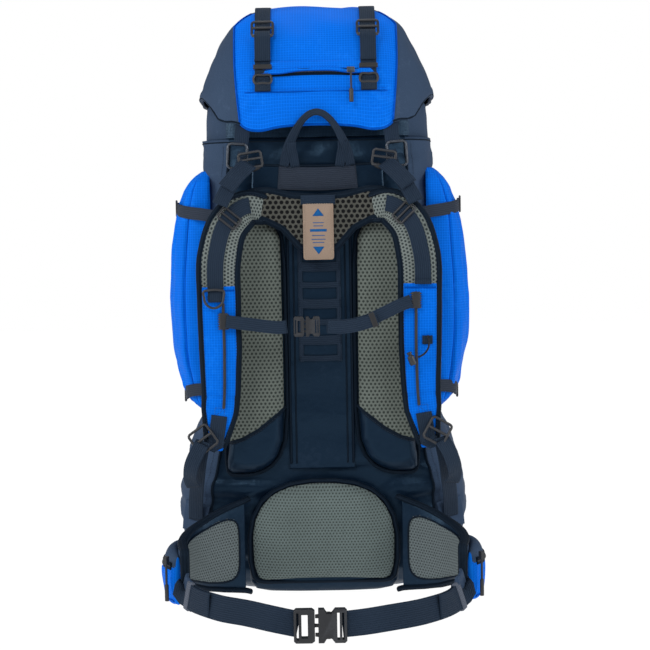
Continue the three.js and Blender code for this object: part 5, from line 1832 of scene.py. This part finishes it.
def hipBelt():
    # each side: a waved and slightly rolled strap, its doubled tail, a pale keeper, and the anchor
    # patch on the wing
    for name in ("left", "right"):
        sign = -1 if name == "left" else 1
        body = "wing_" + name
        line = smoothLine(np.array(belt[name], float) * mm, step=0.004)
        across, out = sides(line, (0.001, -1, 0))
        share = np.linspace(0, 1, len(line))
        line = line + out * (ripple(line, 0.11, 81) * 0.0012 * np.sin(share * np.pi))[:, None]
        roll = 0.12 * np.sin(share * np.pi)
        lean = across * np.cos(roll)[:, None] + out * np.sin(roll)[:, None]
        face = out * np.cos(roll)[:, None] - across * np.sin(roll)[:, None]
        section = rounded(belt["width"] * mm, 2.4 * mm, 24, 5)
        grid = line[:, None] + section[None, :, :1] * lean[:, None] + section[None, :, 1:] * face[:, None]
        settle(surface("belt_webbing_" + name, grid, "webbing"), body, ["belt_strap_" + name])
        outer, outward = (line, face) if name == "left" else (line[::-1], face[::-1])
        count = int(len(outer) * belt["double"])
        second = outer[2:count] + outward[2:count] * 0.0034
        settle(strap("belt_webbing_end_" + name, second[::3], 37 * mm, "webbing", 2.4 * mm,
            (0.001, -1, 0)), body)
        k = int(len(outer) * belt["keeperAt"])
        at, step = outer[k] + outward[k] * 0.0016, unit(outer[k + 2] - outer[k - 1])
        held = strap("belt_keeper_" + name, [at - step * 0.0060, at, at + step * 0.0060], 43 * mm,
            "paleWebbing", 9 * mm,
                       (0.001, -1, 0), step=0.002)
        settle(held, body)
        patch = np.array([[sign * 212, -286, 62], [sign * 211, -302, 56], [sign * 203, -324, 51],
            [sign * 197, -337, 50]]) * mm
        settle(strap("belt_anchor_" + name, patch, 46 * mm, "slateNylon", 6.5 * mm, (sign * 0.7, -0.7, 0)),
            body)


hipBelt()

compression = {"upper": ((-8, 627), (-40, 627), (-70, 625), (-94, 622), (-110, 619)),
               "lower": ((-8, 318), (-40, 320), (-70, 324), (-94, 329), (-110, 333))}


def compressionStraps():
    # webbing round the side pockets to the back panel's edge, with a slide buckle on the outside
    for level, places in compression.items():
        for name, sign in bothSides:
            corners = [(pocketPoint(z, y, 1.6), y, z) for y, z in places]
            corners += [(184, -127, places[-1][1] - 3 * (level == "upper") + 3 * (level == "lower")),
                        (166, -135, places[-1][1] - 6 * (level == "upper") + 6 * (level == "lower"))]
            line = np.array(corners) * [sign, 1, 1] * mm
            line[:, 0] = sign * np.minimum(np.abs(line[:, 0]), 0.2515)
            piece = strap(f"compression_strap_{level}_{name}", line, 20 * mm, "greyWebbing", 2 * mm,
                (sign, -0.6, 0))
            settle(piece, "pack")
            centre = line[1] + [sign * 0.002, 0, 0]
            up, along = np.array([0, 0, 1.0]), unit(line[2] - line[0])
            ring = roundedOutline(14, 25, 2.5, (0, 0), 40) * mm
            loop = centre + ring[:, :1] * along + ring[:, 1:] * up
            loop[:, 0] = sign * np.minimum(np.abs(loop[:, 0]), 0.2535)
            parts = [piping("frame", loop, 1.5 * mm, "plastic", closed=True, facing=(sign, 0, 0.01))]
            parts.append(piping("bar", centre + np.linspace(-0.012, 0.012, 8)[:, None] * up, 1.4 * mm,
                "plastic",
                                facing=(sign, 0.01, 0)))
            settle(joinPieces(f"compression_buckle_{level}_{name}", parts), "pack")


compressionStraps()


def lidFrontStraps():
    # webbing from the lid's front hem down to its buckle, and from the buckle down to the bag
    for name, sign in bothSides:
        x = sign * 80
        upper = np.array([[x, 158, 800], [x, 171, 780], [x, 178, 755], [x, 186, 735], [x, 188.5, 718]]) * mm
        settle(strap("lid_front_webbing_" + name, upper, 25 * mm, "webbing", 2 * mm, (0, 1, 0.3)), "lid")
        lower = np.array([[x, 183.5, 684], [x, 186, 668], [x, 187, 640], [x, 185.5, 610],
            [x, 184.5, 590]]) * mm
        settle(strap("front_webbing_" + name, lower, 25 * mm, "webbing", 2 * mm, (0, 1, 0)), "pack")


lidFrontStraps()
print("belt and compression straps made")


# the studio's light and floor
studioLight = {
    "sky": 0.24, "floorGlow": 1.0,
    "lamps": {
        "keyLight": ((-1.3, -2.4, 2.3), 1.1, 36, (1.0, 0.99, 0.98)),
        "rightLight": ((1.5, -2.5, 1.5), 1.2, 20, (0.98, 0.99, 1.0)),
        "leftSide": ((-2.5, -1.0, 1.1), 1.3, 34, (1.0, 1.0, 1.0)),
        "rightSide": ((2.5, -0.9, 1.1), 1.3, 26, (1.0, 1.0, 1.0)),
        "topLight": ((0.1, 0.3, 2.6), 1.0, 14, (1.0, 1.0, 1.0)),
    },
}


def studio():
    # a white backdrop for the camera, a dimmer white sky for the light, and five soft lamps
    world = bpy.data.worlds.new("studio")
    bpy.context.scene.world = world
    world.use_nodes = True
    w = Wiring(world.node_tree)
    sky = world.node_tree.nodes["Background"]
    sky.inputs["Strength"].default_value = studioLight["sky"]
    backdrop = w.add("ShaderNodeBackground")
    backdrop.inputs["Strength"].default_value = 1.0
    for node in (sky, backdrop):
        node.inputs["Color"].default_value = (1.0, 1.0, 1.0, 1)
    rays, either = w.add("ShaderNodeLightPath"), w.add("ShaderNodeMixShader")
    w.join(rays.outputs["Is Camera Ray"], either.inputs[0])
    w.join(sky.outputs[0], either.inputs[1])
    w.join(backdrop.outputs[0], either.inputs[2])
    w.join(either.outputs[0], world.node_tree.nodes["World Output"].inputs["Surface"])
    for name, (where, size, power, tint) in studioLight["lamps"].items():
        data = bpy.data.lights.new(name, "AREA")
        data.energy, data.size, data.color = power, size, tint
        lamp = bpy.data.objects.new(name, data)
        lamp.location = where
        lamp.rotation_euler = (Vector((0, 0, 0.45)) - Vector(where)).to_track_quat("-Z", "Y").to_euler()
        bpy.context.scene.collection.objects.link(lamp)
    half = 6.0
    corners = np.array([[[-half, -half, 0], [half, -half, 0]], [[-half, half, 0], [half, half, 0]]], float)
    material("floorWhite", lambda w, shader: None, roughness=0.9)
    floor = surface("studio_floor", corners, "floorWhite", around=False, turn=False)
    look = floor.data.materials[0].node_tree.nodes["Principled BSDF"]
    look.inputs["Base Color"].default_value = (0.06, 0.06, 0.06, 1)
    look.inputs["Specular IOR Level"].default_value = 0.0
    look.inputs["Emission Color"].default_value = (1.0, 1.0, 1.0, 1)
    look.inputs["Emission Strength"].default_value = studioLight["floorGlow"]
    if floor.data.polygons[0].normal.z < 0:
        floor.data.flip_normals()
    bpy.context.scene.view_settings.view_transform = "Standard"


studio()
